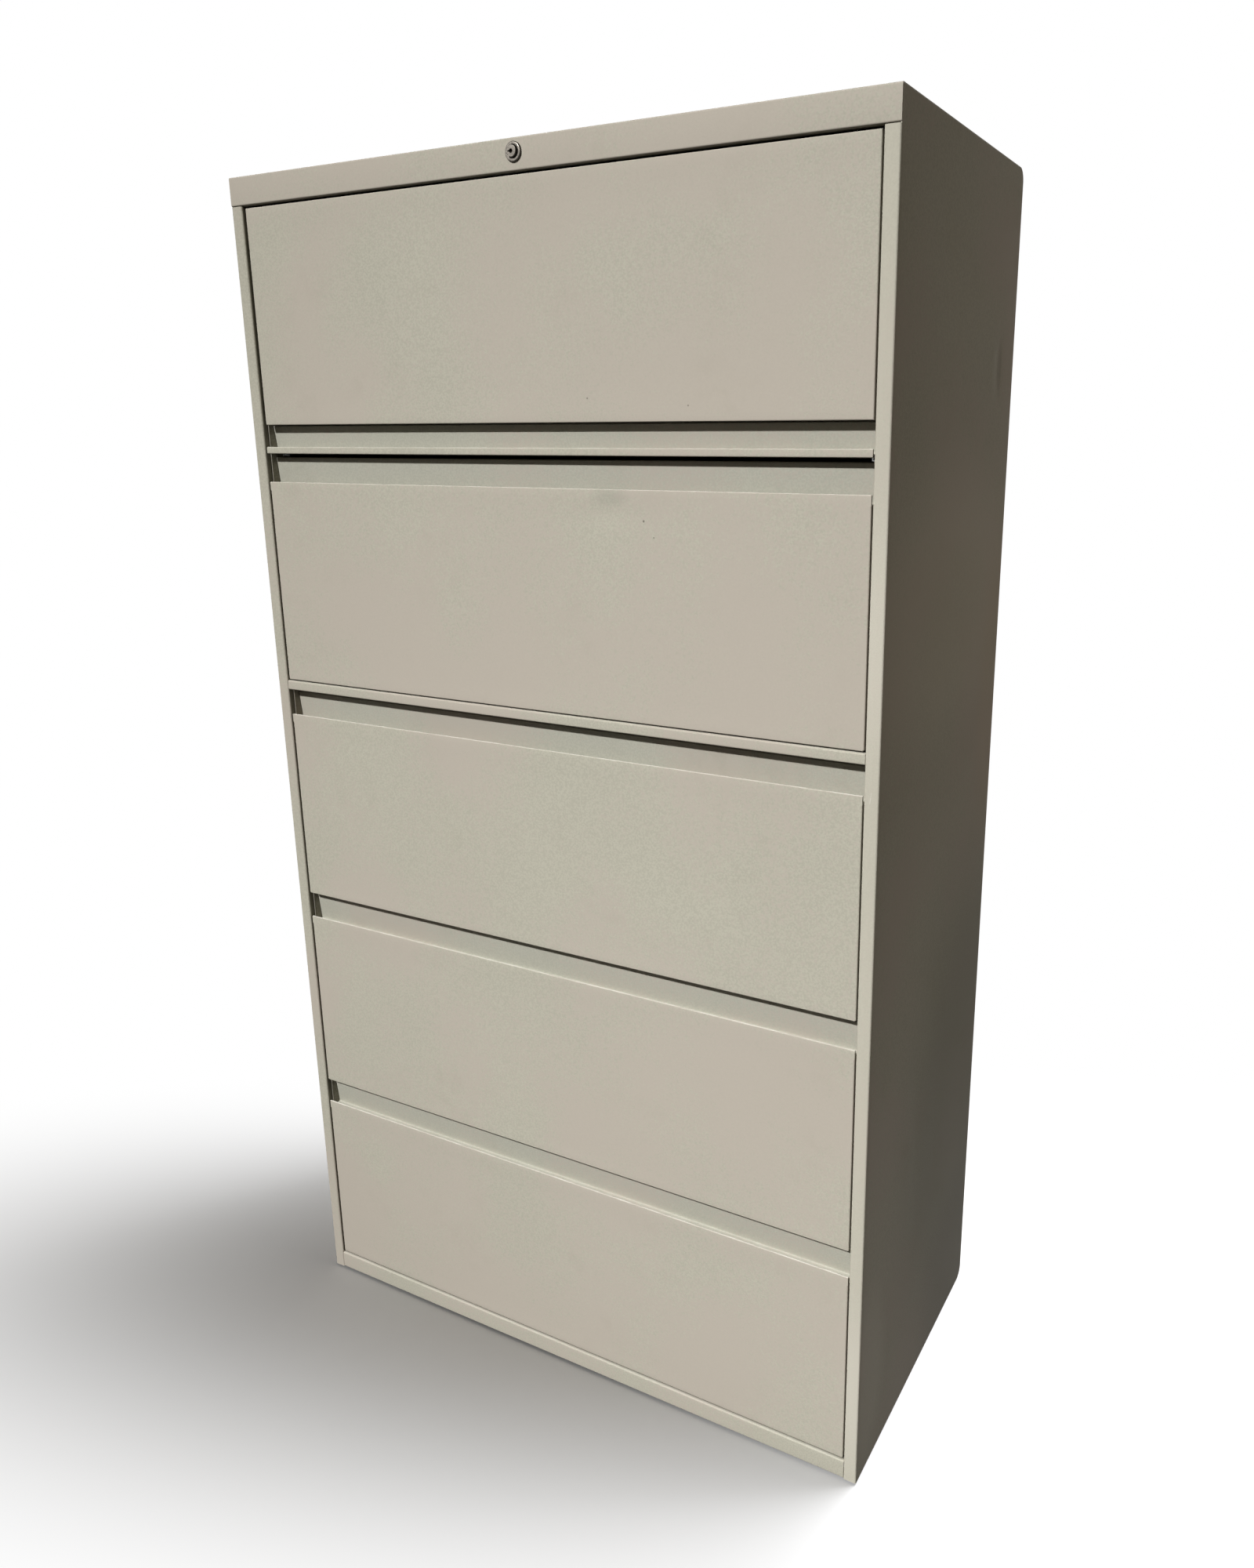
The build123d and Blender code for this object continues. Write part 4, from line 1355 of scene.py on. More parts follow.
    def _top(self) -> None:
        """Top sheet: header with its return, flat top with slow waves, rounded rear skirt.

        The return and lip behind the header are narrower by a gauge at each end, for the sides.
        """
        corners = np.array(
            [
                [self.front + self.header_return, self.header_bottom + self.header_lip],
                [self.front + self.header_return, self.header_bottom],
                [self.front, self.header_bottom],
                [self.front, self.top],
                [self.back, self.top],
                [self.back, self.top - self.rear_skirt],
            ]
        )
        radii = [self.fold, self.fold, self.fold, self.rear_radius]
        path = divided(rounded_path(corners, radii, 8), 16 * MM)
        line = stations(-self.half, self.half, 9 * MM)
        cap = sheet(path, self.gauge, Metal.RIGHT, line, Lay.ALONG_X)

        def shaped(points: np.ndarray) -> np.ndarray:
            """Waves on the top and the header, and the narrower return.

            Args:
                points: Points of the sheet, one row each.

            Returns:
                The points, moved.
            """
            x, y, z = points.T
            moved = points.copy()
            behind = (y > self.front + 1.05 * self.gauge) & (z < self.top - 2 * self.gauge)
            behind &= y < 0
            moved[behind, 0] *= (self.half - self.gauge) / self.half
            flat = z > self.top - 1.5 * self.gauge
            fade = window(y, self.front + 10 * MM, self.back - 20 * MM, 60 * MM)
            fade *= window(x, -self.half + 4 * MM, self.half - 4 * MM, 60 * MM)
            lift = 2.2 * self.wave * ripple(x, y, 21) - self.top_sag
            moved[:, 2] += np.where(flat, np.minimum(lift, 0.2 * MM) * fade, 0.0)
            face = y < self.front + 1.05 * self.gauge
            fade = window(z, self.header_bottom + 3 * MM, self.top - 3 * MM, 12 * MM)
            fade *= window(x, -self.half, self.half, FADE)
            moved[:, 1] += np.where(face, self.header_wave * ripple(x, 3 * z, 22) * fade, 0.0)
            return moved

        top = make_piece("top_sheet", [cap.moved(shaped)])
        coat = self.finishes.coat.build("coat_top", handled=0.8, blushed=0.07)
        settle(top, "case", coat, ("top_cap",))

    def _back(self) -> None:
        """Back sheet with three pressed beads, rounded under the case.

        A bead's depth is the product of a smooth trough across and a smooth rise at both ends.
        The columns lie closer together near the beads.
        """
        corners = np.array(
            [
                [self.back, self.top - self.rear_skirt - self.seam],
                [self.back, self.foot],
                [self.back - self.rear_foot, self.foot],
            ]
        )
        path = divided(rounded_path(corners, [self.rear_radius], 10), 9 * MM)
        pitch = self.half / 2
        near = np.linspace(-3 * self.bead_half, 3 * self.bead_half, 33)
        columns = [stations(-self.half, self.half, self.spacing)]
        columns += [near + bead * pitch for bead in (-1, 0, 1)]
        line = np.unique(np.round(np.concatenate(columns), 7))
        panel = sheet(path, self.gauge, Metal.RIGHT, line, Lay.ALONG_X)
        low = self.foot + 4 * self.rear_radius
        high = self.top - self.rear_skirt - 3 * self.rear_radius

        def pressed(points: np.ndarray) -> np.ndarray:
            """Presses the beads, and adds slow waves between them.

            Args:
                points: Points of the sheet, one row each.

            Returns:
                The points, moved.
            """
            x, y, z = points.T
            off = np.abs(x - np.clip(np.round(x / pitch), -1, 1) * pitch)
            trough = 1 - window(off, self.bead_half, self.half, self.bead_ramp)
            depth = self.bead_depth * trough * window(z, low, high, self.bead_end)
            fade = window(z, self.foot + 20 * MM, high + 30 * MM, FADE)
            fade *= window(x, -self.half + 3 * MM, self.half - 3 * MM, FADE)
            wave = 1.5 * self.wave * ripple(x, z, 31) - self.back_sag
            wall = y > self.back - 2 * self.gauge
            moved = points.copy()
            moved[:, 1] += np.where(wall, -depth + np.minimum(wave, 0.1 * MM) * fade, 0.0)
            return moved

        back = make_piece("back_sheet", [panel.moved(pressed)])
        coat = self.finishes.coat.build("coat_back", handled=0.4)
        settle(back, "case", coat, ("back_panel",))

    def _rails(self) -> None:
        """Bottom rail and the rail over row two: channels that face the front, ends notched."""
        for name, foot, run in (("bottom_rail", 16 * MM, 22 * MM), ("mid_rail", 20 * MM, 20 * MM)):
            low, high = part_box(name)
            corners = np.array(
                [[low.y + foot, low.z], [low.y, low.z], [low.y, high.z], [low.y + run, high.z]]
            )
            path = divided(rounded_path(corners, [self.fold] * 2, 8), 6 * MM)
            line = stations(low.x, high.x, 10 * MM)
            rail = sheet(path, self.gauge, Metal.RIGHT, line, Lay.ALONG_X)

            def shaped(points: np.ndarray, low: Vector = low, seed: int = len(name)) -> np.ndarray:
                """Narrows the legs behind the stiles' returns, and adds slow waves to the face.

                Args:
                    points: Points of the sheet, one row each.
                    low: Lower corner of the rail.
                    seed: Number that its waves are drawn from.

                Returns:
                    The points, moved.
                """
                x, y, z = points.T
                moved = points.copy()
                behind = y > self.front + self.stile_return - self.gauge
                moved[behind, 0] *= (self.half - self.rail_inset) / high.x
                push = self.rail_wave * ripple(x, z, seed) * window(x, low.x, -low.x, FADE)
                moved[:, 1] += np.where(y < low.y + 1.3 * MM, push, 0)
                return moved

            piece = make_piece(f"{name}_sheet", [rail.moved(shaped)])
            # Painted shade on the rail's faces behind the front
            coat = self.finishes.coat.build(f"coat_{name}", (), 0.6, recess=low.y + 2 * MM)
            settle(piece, "case", coat, (name,))


# ---------------------------------------------------------------- drawers and shelf
@dataclass
class FrontFace:
    """Front skin with its hemmed lip, and the finger pull behind it, of a drawer or the shelf."""

    finishes: Finishes
    row: str
    seed: int
    pocket: float
    rise: float = 0.0
    blushed: float = 0.0
    dents: tuple[Dent, ...] = ()
    colour_marks: tuple[ColourMark, ...] = ()
    gauge: float = 1.0 * MM
    fold: float = 1.6 * MM
    lip: float = 2.7 * MM
    side_return: float = 12.0 * MM
    pull_setback: float = 15.5 * MM
    pocket_back: float = 19.5 * MM
    head_drop: float = 12.0 * MM
    spacing: float = 8.0 * MM
    wave: float = 0.24 * MM
    pull_wave: float = 0.12 * MM
    hem_slack: float = 0.01 * MM

    def __post_init__(self) -> None:
        """Reads the places of the front and the pull from the frame."""
        low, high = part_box(f"{self.row}_front")
        self.half, self.front, self.rear = high.x, low.y, high.y
        self.low, self.high = low.z, high.z
        pull_low, pull_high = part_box(f"{self.row}_pull")
        self.pull_floor, self.head = pull_low.z, pull_high.z

    def build(self) -> None:
        """Builds both sheets: the skin in its own coat, the pull in the pulls' coat."""
        # The fronts get more of the light tone on faces that look up: a dusting, and a painted highlight
        # on the lip
        coat = self.finishes.coat.build(
            f"coat_{self.row}", self.colour_marks, dust_and_sheen_amount=1.3, blushed=self.blushed
        )
        flanged = self.high - self.low > 0.05
        shells = self._flanged_skin() if flanged else self._plain_skin()
        skin = make_piece(f"{self.row}_skin", [shell.moved(self._waved) for shell in shells])
        settle(skin, self.row, coat, (f"{self.row}_front",))
        pull = make_piece(f"{self.row}_finger_pull", [self._pull()])
        settle(pull, self.row, self.finishes.pull, (f"{self.row}_pull",))

    def _waved(self, points: np.ndarray) -> np.ndarray:
        """Face pushed in by slow waves and dents, faded out near its edges and its lip.

        Args:
            points: Points of the sheet, one row each.

        Returns:
            The points, moved.
        """
        x, y, z = points.T
        face_top = self.high - self.pocket - self.gauge
        fade = window(x, -self.half + 2 * MM, self.half - 2 * MM, FADE)
        fade *= window(z, self.low + 2 * MM, face_top - self.gauge, 20 * MM)
        push = self.wave * (ripple(x, z, self.seed) + 1) * fade
        for dent in self.dents:
            push += dent.push(x, z) * window(z, self.low, face_top, 12 * MM)
        moved = points.copy()
        moved[:, 1] += np.where(y < self.front + 1.2 * self.gauge, push, 0.0)
        return moved

    def _flanged_skin(self) -> list[Shell]:
        """Drawer skin: foot flange, face and hem in one sheet, wider lip, and both edge folds.

        Returns:
            The skin, the two ends of its lip and its two edge folds.
        """
        hem = self.lip / 2 - self.hem_slack
        back, top = self.front + self.lip, self.high
        flange_top = top - self.pocket - self.gauge
        whole = np.array(
            [
                [self.rear, self.low + self.head_drop],
                [self.rear, self.low],
                [self.front, self.low],
                [self.front, top],
                [back, top],
                [back, flange_top],
            ]
        )
        lip = np.array([[self.front, flange_top], [self.front, top], [back, top], [back, flange_top]])
        inset = self.half - self.fold
        path = divided(rounded_path(whole, [self.fold, self.fold, hem, hem], 8), self.spacing)
        line = stations(-inset, inset, self.spacing)
        skin = sheet(path, self.gauge, Metal.RIGHT, line, Lay.ALONG_X)
        ends = divided(rounded_path(lip, [hem, hem], 8), self.spacing)
        shells = [skin]
        for side in (-1, 1):
            line = np.sort(np.array([side * inset, side * self.half]))
            shells.append(sheet(ends, self.gauge, Metal.RIGHT, line, Lay.ALONG_X))
        edge = np.array(
            [
                [self.half, self.front + self.side_return],
                [self.half, self.front],
                [inset - 6 * MM, self.front],
            ]
        )
        bend = rounded_path(edge, [self.fold], 8)[:-1]
        line = stations(self.low + self.fold, flange_top, 12 * MM)
        right = sheet(bend, self.gauge, Metal.RIGHT, line, Lay.ALONG_Z)
        return shells + [right, right.mirrored()]

    def _plain_skin(self) -> list[Shell]:
        """Shelf skin: foot flange, narrow face and hem.

        Returns:
            The skin alone.
        """
        hem = self.lip / 2 - self.hem_slack
        back, top = self.front + self.lip, self.high
        floor = top - self.pocket - self.gauge
        corners = np.array(
            [
                [self.rear, self.low],
                [self.front, self.low],
                [self.front, top],
                [back, top],
                [back, floor],
            ]
        )
        path = divided(rounded_path(corners, [self.fold, hem, hem], 8), 4 * MM)
        line = stations(-self.half, self.half, self.spacing)
        return [sheet(path, self.gauge, Metal.RIGHT, line, Lay.ALONG_X)]

    def _pull(self) -> Shell:
        """Finger pull: pocket floor, slanted face, top flange and rear leg, with slow waves.

        Returns:
            The closed sheet.
        """
        floor = self.high - self.pocket
        corners = np.array(
            [
                [self.front + self.lip, floor],
                [self.front + self.pocket_back, floor],
                [self.front + self.pull_setback, self.head + self.rise],
                [self.rear, self.head + self.rise],
                [self.rear, self.head - self.head_drop],
            ]
        )
        path = divided(rounded_path(corners, [self.fold] * 3, 8), 6 * MM)
        line = stations(-self.half, self.half, self.spacing)
        pull = sheet(path, self.gauge, Metal.RIGHT, line, Lay.ALONG_X)

        def waved(points: np.ndarray) -> np.ndarray:
            """Slow waves on the slanted face.

            Args:
                points: Points of the sheet, one row each.

            Returns:
                The points, moved.
            """
            x, y, z = points.T
            fade = window(z, floor + 4 * MM, self.head - 4 * MM, 10 * MM)
            fade *= window(x, -self.half, self.half, 40 * MM)
            on = (y > self.front + 12 * MM) & (y < self.front + self.pocket_back + 1 * MM)
            moved = points.copy()
            moved[:, 1] += np.where(on, self.pull_wave * ripple(x, z, self.seed + 50) * fade, 0.0)
            return moved

        return pull.moved(waved)


@dataclass
class Carcass:
    """What hangs behind a front: tray, slides and rails, dressed as the frame has them."""

    finishes: Finishes
    row: str

    def build(self) -> None:
        """Dresses the row's own nodes."""
        nodes, f = frame["nodes"], self.finishes
        dress(nodes[f"{self.row}_tray"], f.inside)
        for part, material in (
            ("inner_slides", f.zinc_deep),
            ("middle_slides", f.zinc_deep),
            ("hanging_rails", f.zinc_wide),
        ):
            if f"{self.row}_{part}" in nodes:
                dress(nodes[f"{self.row}_{part}"], material)
        log.info("%s: tray and slides dressed", self.row)


# ---------------------------------------------------------------- door
@dataclass
class RecedingDoor:
    """Lift-up door of row one: a pan with rounded front edges, and its carriage."""

    finishes: Finishes
    gauge: float = 1.0 * MM
    fold: float = 1.6 * MM
    lip: float = 9.0 * MM
    open_band: float = 28.0 * MM
    wave: float = 0.30 * MM
    colour_marks: tuple[ColourMark, ...] = ()

    def build(self) -> None:
        """Builds the pan and dresses hinges and carriage."""
        low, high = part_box("door_panel")
        pan = make_piece("door_pan", [self._pan(low, high)])
        coat = self.finishes.coat.build("coat_door", self.colour_marks, blushed=0.06)
        settle(pan, "door", coat, ("door_panel",))
        nodes = frame["nodes"]
        for name in ("door_hinges", "carriage_arms", "carriage_tie", "carriage_runners", "door_tracks"):
            dress(nodes[name], self.finishes.zinc_deep)

    def _pan(self, low: Vector, high: Vector) -> Shell:
        """Closed pan: a grid for the face, rings round its border back to the lip, and a grid inside.

        A ring's point is the border point plus its outward normal times a reach, at a depth: the
        reach and depth run round the front fold, back along the edge, in along the lip, and so on
        round the metal's thickness to the inner face. At corners the normal has both parts.

        Args:
            low: Lower corner of the door in the frame.
            high: Its upper corner.

        Returns:
            The closed pan.
        """
        across = stations(low.x + self.fold, high.x - self.fold, 8 * MM)
        up = stations(low.z + self.fold, high.z - self.fold, 8 * MM)
        cols, rows = len(across), len(up)
        index = np.arange(rows * cols).reshape(rows, cols)
        border = np.concatenate([index[0, :-1], index[:-1, -1], index[-1, :0:-1], index[:0:-1, 0]])
        face_x, face_z = np.tile(across, rows), np.repeat(up, cols)
        x, z = face_x[border], face_z[border]
        out_x = np.where(x < low.x + 1.5 * self.fold, -1.0, 0.0) + (x > high.x - 1.5 * self.fold)
        out_z = np.where(z < low.z + 1.5 * self.fold, -1.0, 0.0) + (z > high.z - 1.5 * self.fold)
        angle = np.linspace(0, pi / 2, 8)[1:]
        depth_end = high.y - low.y
        bare = (out_z > 0) | ((out_z == 0) & (z > high.z - self.open_band))
        lip = np.where(bare, self.gauge, self.lip)
        plain = [(np.sin(a) * self.fold, self.fold * (1 - np.cos(a))) for a in angle]
        plain += [(self.fold, depth_end * 0.5), (self.fold, depth_end)]
        rings = [(np.full(len(x), reach), depth) for reach, depth in plain]
        rings += [
            (self.fold - lip, depth_end),
            (self.fold - lip, depth_end - self.gauge),
            (np.full(len(x), self.fold - self.gauge), depth_end - self.gauge),
            (np.full(len(x), self.fold - self.gauge), 1.6 * self.gauge),
        ]
        points = [np.stack([face_x, np.full(len(face_x), low.y), face_z], 1)]
        for reach, depth in rings:
            points.append(
                np.stack([x + out_x * reach, np.full(len(x), low.y + depth), z + out_z * reach], 1)
            )
        points.append(np.stack([face_x, np.full(len(face_x), low.y + self.gauge), face_z], 1))
        count, base = len(border), rows * cols
        walls = grid_faces(len(rings), count, ring=True) + base
        after = np.roll(np.arange(count), -1)
        here = np.arange(count)
        front = np.stack([border, border[after], base + after, base + here], 1)
        last = base + (len(rings) - 1) * count
        inner = base + len(rings) * count
        rear = np.stack([last + here, last + after, inner + border[after], inner + border], 1)
        outside, inside = grid_faces(rows, cols), grid_faces(rows, cols) + inner
        faces = [outside] + [part[:, ::-1] for part in (walls, front, rear, inside)]
        shell = Shell(np.concatenate(points), faces)

        def waved(points: np.ndarray) -> np.ndarray:
            """Face and its inner side pushed in together by slow waves.

            Args:
                points: Points of the sheet, one row each.

            Returns:
                The points, moved.
            """
            on = points[:, 1] < low.y + 1.2 * self.gauge
            fade = window(points[:, 0], low.x + 2 * MM, high.x - 2 * MM, FADE)
            fade *= window(points[:, 2], low.z + 2 * MM, high.z - 2 * MM, 40 * MM)
            push = self.wave * (ripple(points[:, 0], points[:, 2], 41) + 1) * fade
            moved = points.copy()
            moved[:, 1] += np.where(on, push, 0.0)
            return moved

        return shell.moved(waved).outward()


# ---------------------------------------------------------------- lock
@dataclass
class CamLock:
    """Cam lock in the header: bezel with its groove, and the plug with its keyway."""

    finishes: Finishes
    bezel: float = 10.8 * MM
    reach: float = 2.8 * MM
    groove: float = 7.4 * MM
    groove_floor: float = 0.6 * MM
    barrel: float = 9.5 * MM
    plug: float = 6.5 * MM
    keyhole: float = 1.9 * MM
    key_slot: float = 4.6 * MM
    key_width: float = 1.5 * MM
    key_depth: float = 9.0 * MM
    rim: float = 1.5 * MM
    groove_rim: float = 0.35 * MM
    nose_rim: float = 0.6 * MM
    key_bevel: float = 0.25 * MM
    slack: float = 0.08 * MM

    def __post_init__(self) -> None:
        """Reads the lock's middle and the plug's ends from the frame."""
        low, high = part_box("lock_barrel")
        self.middle = ((low.x + high.x) / 2, 0.0, (low.z + high.z) / 2)
        self.face, self.tail = low.y, high.y
        self.panel = self.face + self.reach
        plug_low, plug_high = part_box("lock_plug")
        self.nose, self.plug_tail = plug_low.y, plug_high.y

    def build(self) -> None:
        """Builds housing and plug, and dresses the works behind them."""
        housing = make_piece("lock_housing", [placed(self._housing(), self.middle)], 38.0)
        settle(housing, "case", self.finishes.lock, ("lock_barrel",))
        core = make_piece("lock_core_plug", [placed(self._core(), self.middle)], 38.0)
        settle(core, "lock_core", self.finishes.lock, ("lock_plug",))
        nodes = frame["nodes"]
        for name in ("lock_nut", "lock_cam"):
            dress(nodes[name], self.finishes.works)
        dress(nodes["lock_rod"], self.finishes.zinc_wide)
        dress(nodes["rod_guides"], self.finishes.zinc_tall)
        dress(nodes["lock_bar"], self.finishes.zinc_tall)

    def _housing(self) -> Shell:
        """Housing: crowned bezel with a rolled outer edge, groove, bore and barrel, turned once.

        Returns:
            The closed housing, about the Y axis.
        """
        bore, edge, inner = self.plug + self.slack, self.rim, self.groove_rim
        turn = np.linspace(0, pi / 2, 7)
        rolled = np.stack(
            [self.bezel - edge + edge * np.sin(turn), self.face + edge - edge * np.cos(turn)], 1
        )
        mouth = np.stack(
            [self.groove + inner - inner * np.cos(turn), self.face + inner - inner * np.sin(turn)], 1
        )
        floor = self.panel - self.groove_floor
        loop = np.concatenate(
            [
                [[bore, floor], [self.groove, floor]],
                mouth,
                rolled,
                [
                    [self.bezel, self.panel],
                    [self.barrel, self.panel],
                    [self.barrel, self.tail],
                    [bore, self.tail],
                ],
            ]
        )
        return ring_solid(loop)

    def _core(self) -> Shell:
        """Plug: a face with a shaped keyhole, rounded rim, plain shank.

        Each ring has a point at every angle t. The keyhole's ring has the larger of the round
        hole's radius and the distance to the slot's wall, min(end / cos t, half width / |sin t|).

        Returns:
            The closed plug, about the Y axis.
        """
        slot_half = self.key_width / 2
        corner = np.arctan2(slot_half, self.key_slot)
        meet = np.arcsin(slot_half / self.keyhole)
        near = [-meet, -corner, -corner / 2, 0.0, corner / 2, corner, meet]
        rest = np.linspace(meet, tau - meet, 60)[1:-1]
        angle = pi + np.concatenate([near, rest])
        off = angle - pi
        wrapped = (off + pi) % tau - pi
        within = np.abs(wrapped) <= meet + 1e-9
        wall = slot_half / np.maximum(np.abs(np.sin(wrapped)), 1e-9)
        end = self.key_slot / np.maximum(np.cos(wrapped), 1e-9)
        hole = np.where(within, np.maximum(self.keyhole, np.minimum(wall, end)), self.keyhole)
        edge, bevel, point = self.nose_rim, self.key_bevel, np.full(len(angle), 1e-6)
        rows: list[tuple[np.ndarray, float]] = [
            (point, self.nose + self.key_depth),
            (hole, self.nose + self.key_depth),
            (hole, self.nose + bevel),
            (hole + bevel, self.nose),
            (hole * 0.4 + (self.plug - edge) * 0.6, self.nose),
        ]
        for turn in np.linspace(0, pi / 2, 6):
            reach = self.plug - edge + edge * np.sin(turn)
            rows.append((np.full(len(angle), reach), self.nose + edge - edge * np.cos(turn)))
        rows += [
            (np.full(len(angle), self.plug), self.plug_tail),
            (point, self.plug_tail),
        ]
        rings = [
            np.stack([reach * np.cos(angle), np.full(len(angle), depth), reach * np.sin(angle)], 1)
            for reach, depth in rows
        ]
        ends = np.array([[0, rows[0][1], 0], [0, rows[-1][1], 0]])
        return fanned_rings(np.array(rings), ends)


# ---------------------------------------------------------------- glides
@dataclass
class LevellingGlide:
    """Levelling glide: hexagonal foot with a rolled edge on a threaded stud."""

    finishes: Finishes
    name: str
    body: str
    stud: float = 5.0 * MM
    pitch: float = 1.5 * MM
    thread: float = 0.75 * MM
    tip: float = 0.9 * MM
    tip_length: float = 1.2 * MM
    foot_height: float = 7.0 * MM
    foot_edge: float = 1.0 * MM
    foot_crown: float = 0.8 * MM

    def build(self) -> None:
        """Builds the threaded stud and the foot as one piece."""
        low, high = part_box(self.name)
        middle = ((low.x + high.x) / 2, (low.y + high.y) / 2, 0.0)
        shells = [self._foot(low, high), self._stud(low.z + self.foot_height, high.z)]
        piece = make_piece(self.body, [placed(shell, middle) for shell in shells])
        settle(piece, self.body, self.finishes.zinc_wide, (self.name,))

    def _foot(self, low: Vector, high: Vector) -> Shell:
        """Hexagonal foot: rings whose reach at angle t is apothem / cos of the angle to a flat.

        Args:
            low: Lower corner of the glide in the frame.
            high: Its upper corner.

        Returns:
            The closed foot, about the Z axis.
        """
        apothem = min(high.x - low.x, high.y - low.y) / 2
        angle = np.linspace(0, tau, 72, endpoint=False)
        vertical = high.x - low.x < high.y - low.y
        lean = 0.0 if vertical else pi / 6
        away = (angle + lean + pi / 6) % (pi / 3) - pi / 6
        hexagon = apothem / np.cos(away)
        edge, crown, top = self.foot_edge, self.foot_crown, low.z + self.foot_height
        chamfered, blunt = 1.02 * apothem, 1.02 * 1.08 * apothem
        rows = [
            (np.minimum(hexagon - edge, chamfered - edge), low.z),
            (np.minimum(hexagon, blunt), low.z + edge),
            (np.minimum(hexagon, blunt), top - crown),
            (np.minimum(hexagon, chamfered) - crown, top),
        ]
        return self._closed(rows, angle)

    def _stud(self, low: float, high: float) -> Shell:
        """Threaded stud: the reach at angle t and height h is a triangle wave of h / pitch - t / turn.

        Args:
            low: Height of the shoulder.
            high: Height of the tip.

        Returns:
            The closed stud, about the Z axis.
        """
        angle = np.linspace(0, tau, 40, endpoint=False)
        heights = np.linspace(low - 1 * MM, high, 150)
        rows = []
        for height in heights:
            phase = (height / self.pitch - angle / tau) % 1.0
            depth = self.thread * np.abs(2 * phase - 1)
            fade = min(1.0, max(0.0, (high - height) / self.tip_length))
            rows.append((self.stud - depth * fade - (1 - fade) * self.tip, height))
        return self._closed(rows, angle)

    @staticmethod
    def _closed(rows: list[tuple[np.ndarray, float]], angle: np.ndarray) -> Shell:
        """Rings about the Z axis, closed by a fan at each end.

        Args:
            rows: Reach and height of each ring.
            angle: Angles of the points in a ring.

        Returns:
            The closed solid.
        """
        rings = [
            np.stack([reach * np.cos(angle), reach * np.sin(angle), np.full(len(angle), height)], 1)
            for reach, height in rows
        ]
        ends = np.array([[0, 0, rows[0][1]], [0, 0, rows[-1][1]]])
        return fanned_rings(np.array(rings), ends)


# ---------------------------------------------------------------- studio
@dataclass(frozen=True)
class Lamp:
    """A square area lamp: its place, what it looks at, its size, power, tint and spread."""

    name: str
    place: Point
    aim: Point
    size: float
    power: float
    tint: Color = (1.0, 1.0, 1.0)
    spread: float = 180.0

    def build(self) -> bpy.types.Object:
        """Puts the lamp into the scene, turned to its aim.

        Returns:
            The lamp.
        """
        data = bpy.data.lights.new(self.name, "AREA")
        data.size, data.energy, data.color = self.size, self.power, self.tint
        data.spread = radians(self.spread)
        lamp = bpy.data.objects.new(self.name, data)
        lamp.location = self.place
        gaze = Vector(self.aim) - Vector(self.place)
        lamp.rotation_euler = gaze.to_track_quat("-Z", "Y").to_euler()
        bpy.context.scene.collection.objects.link(lamp)
        return lamp


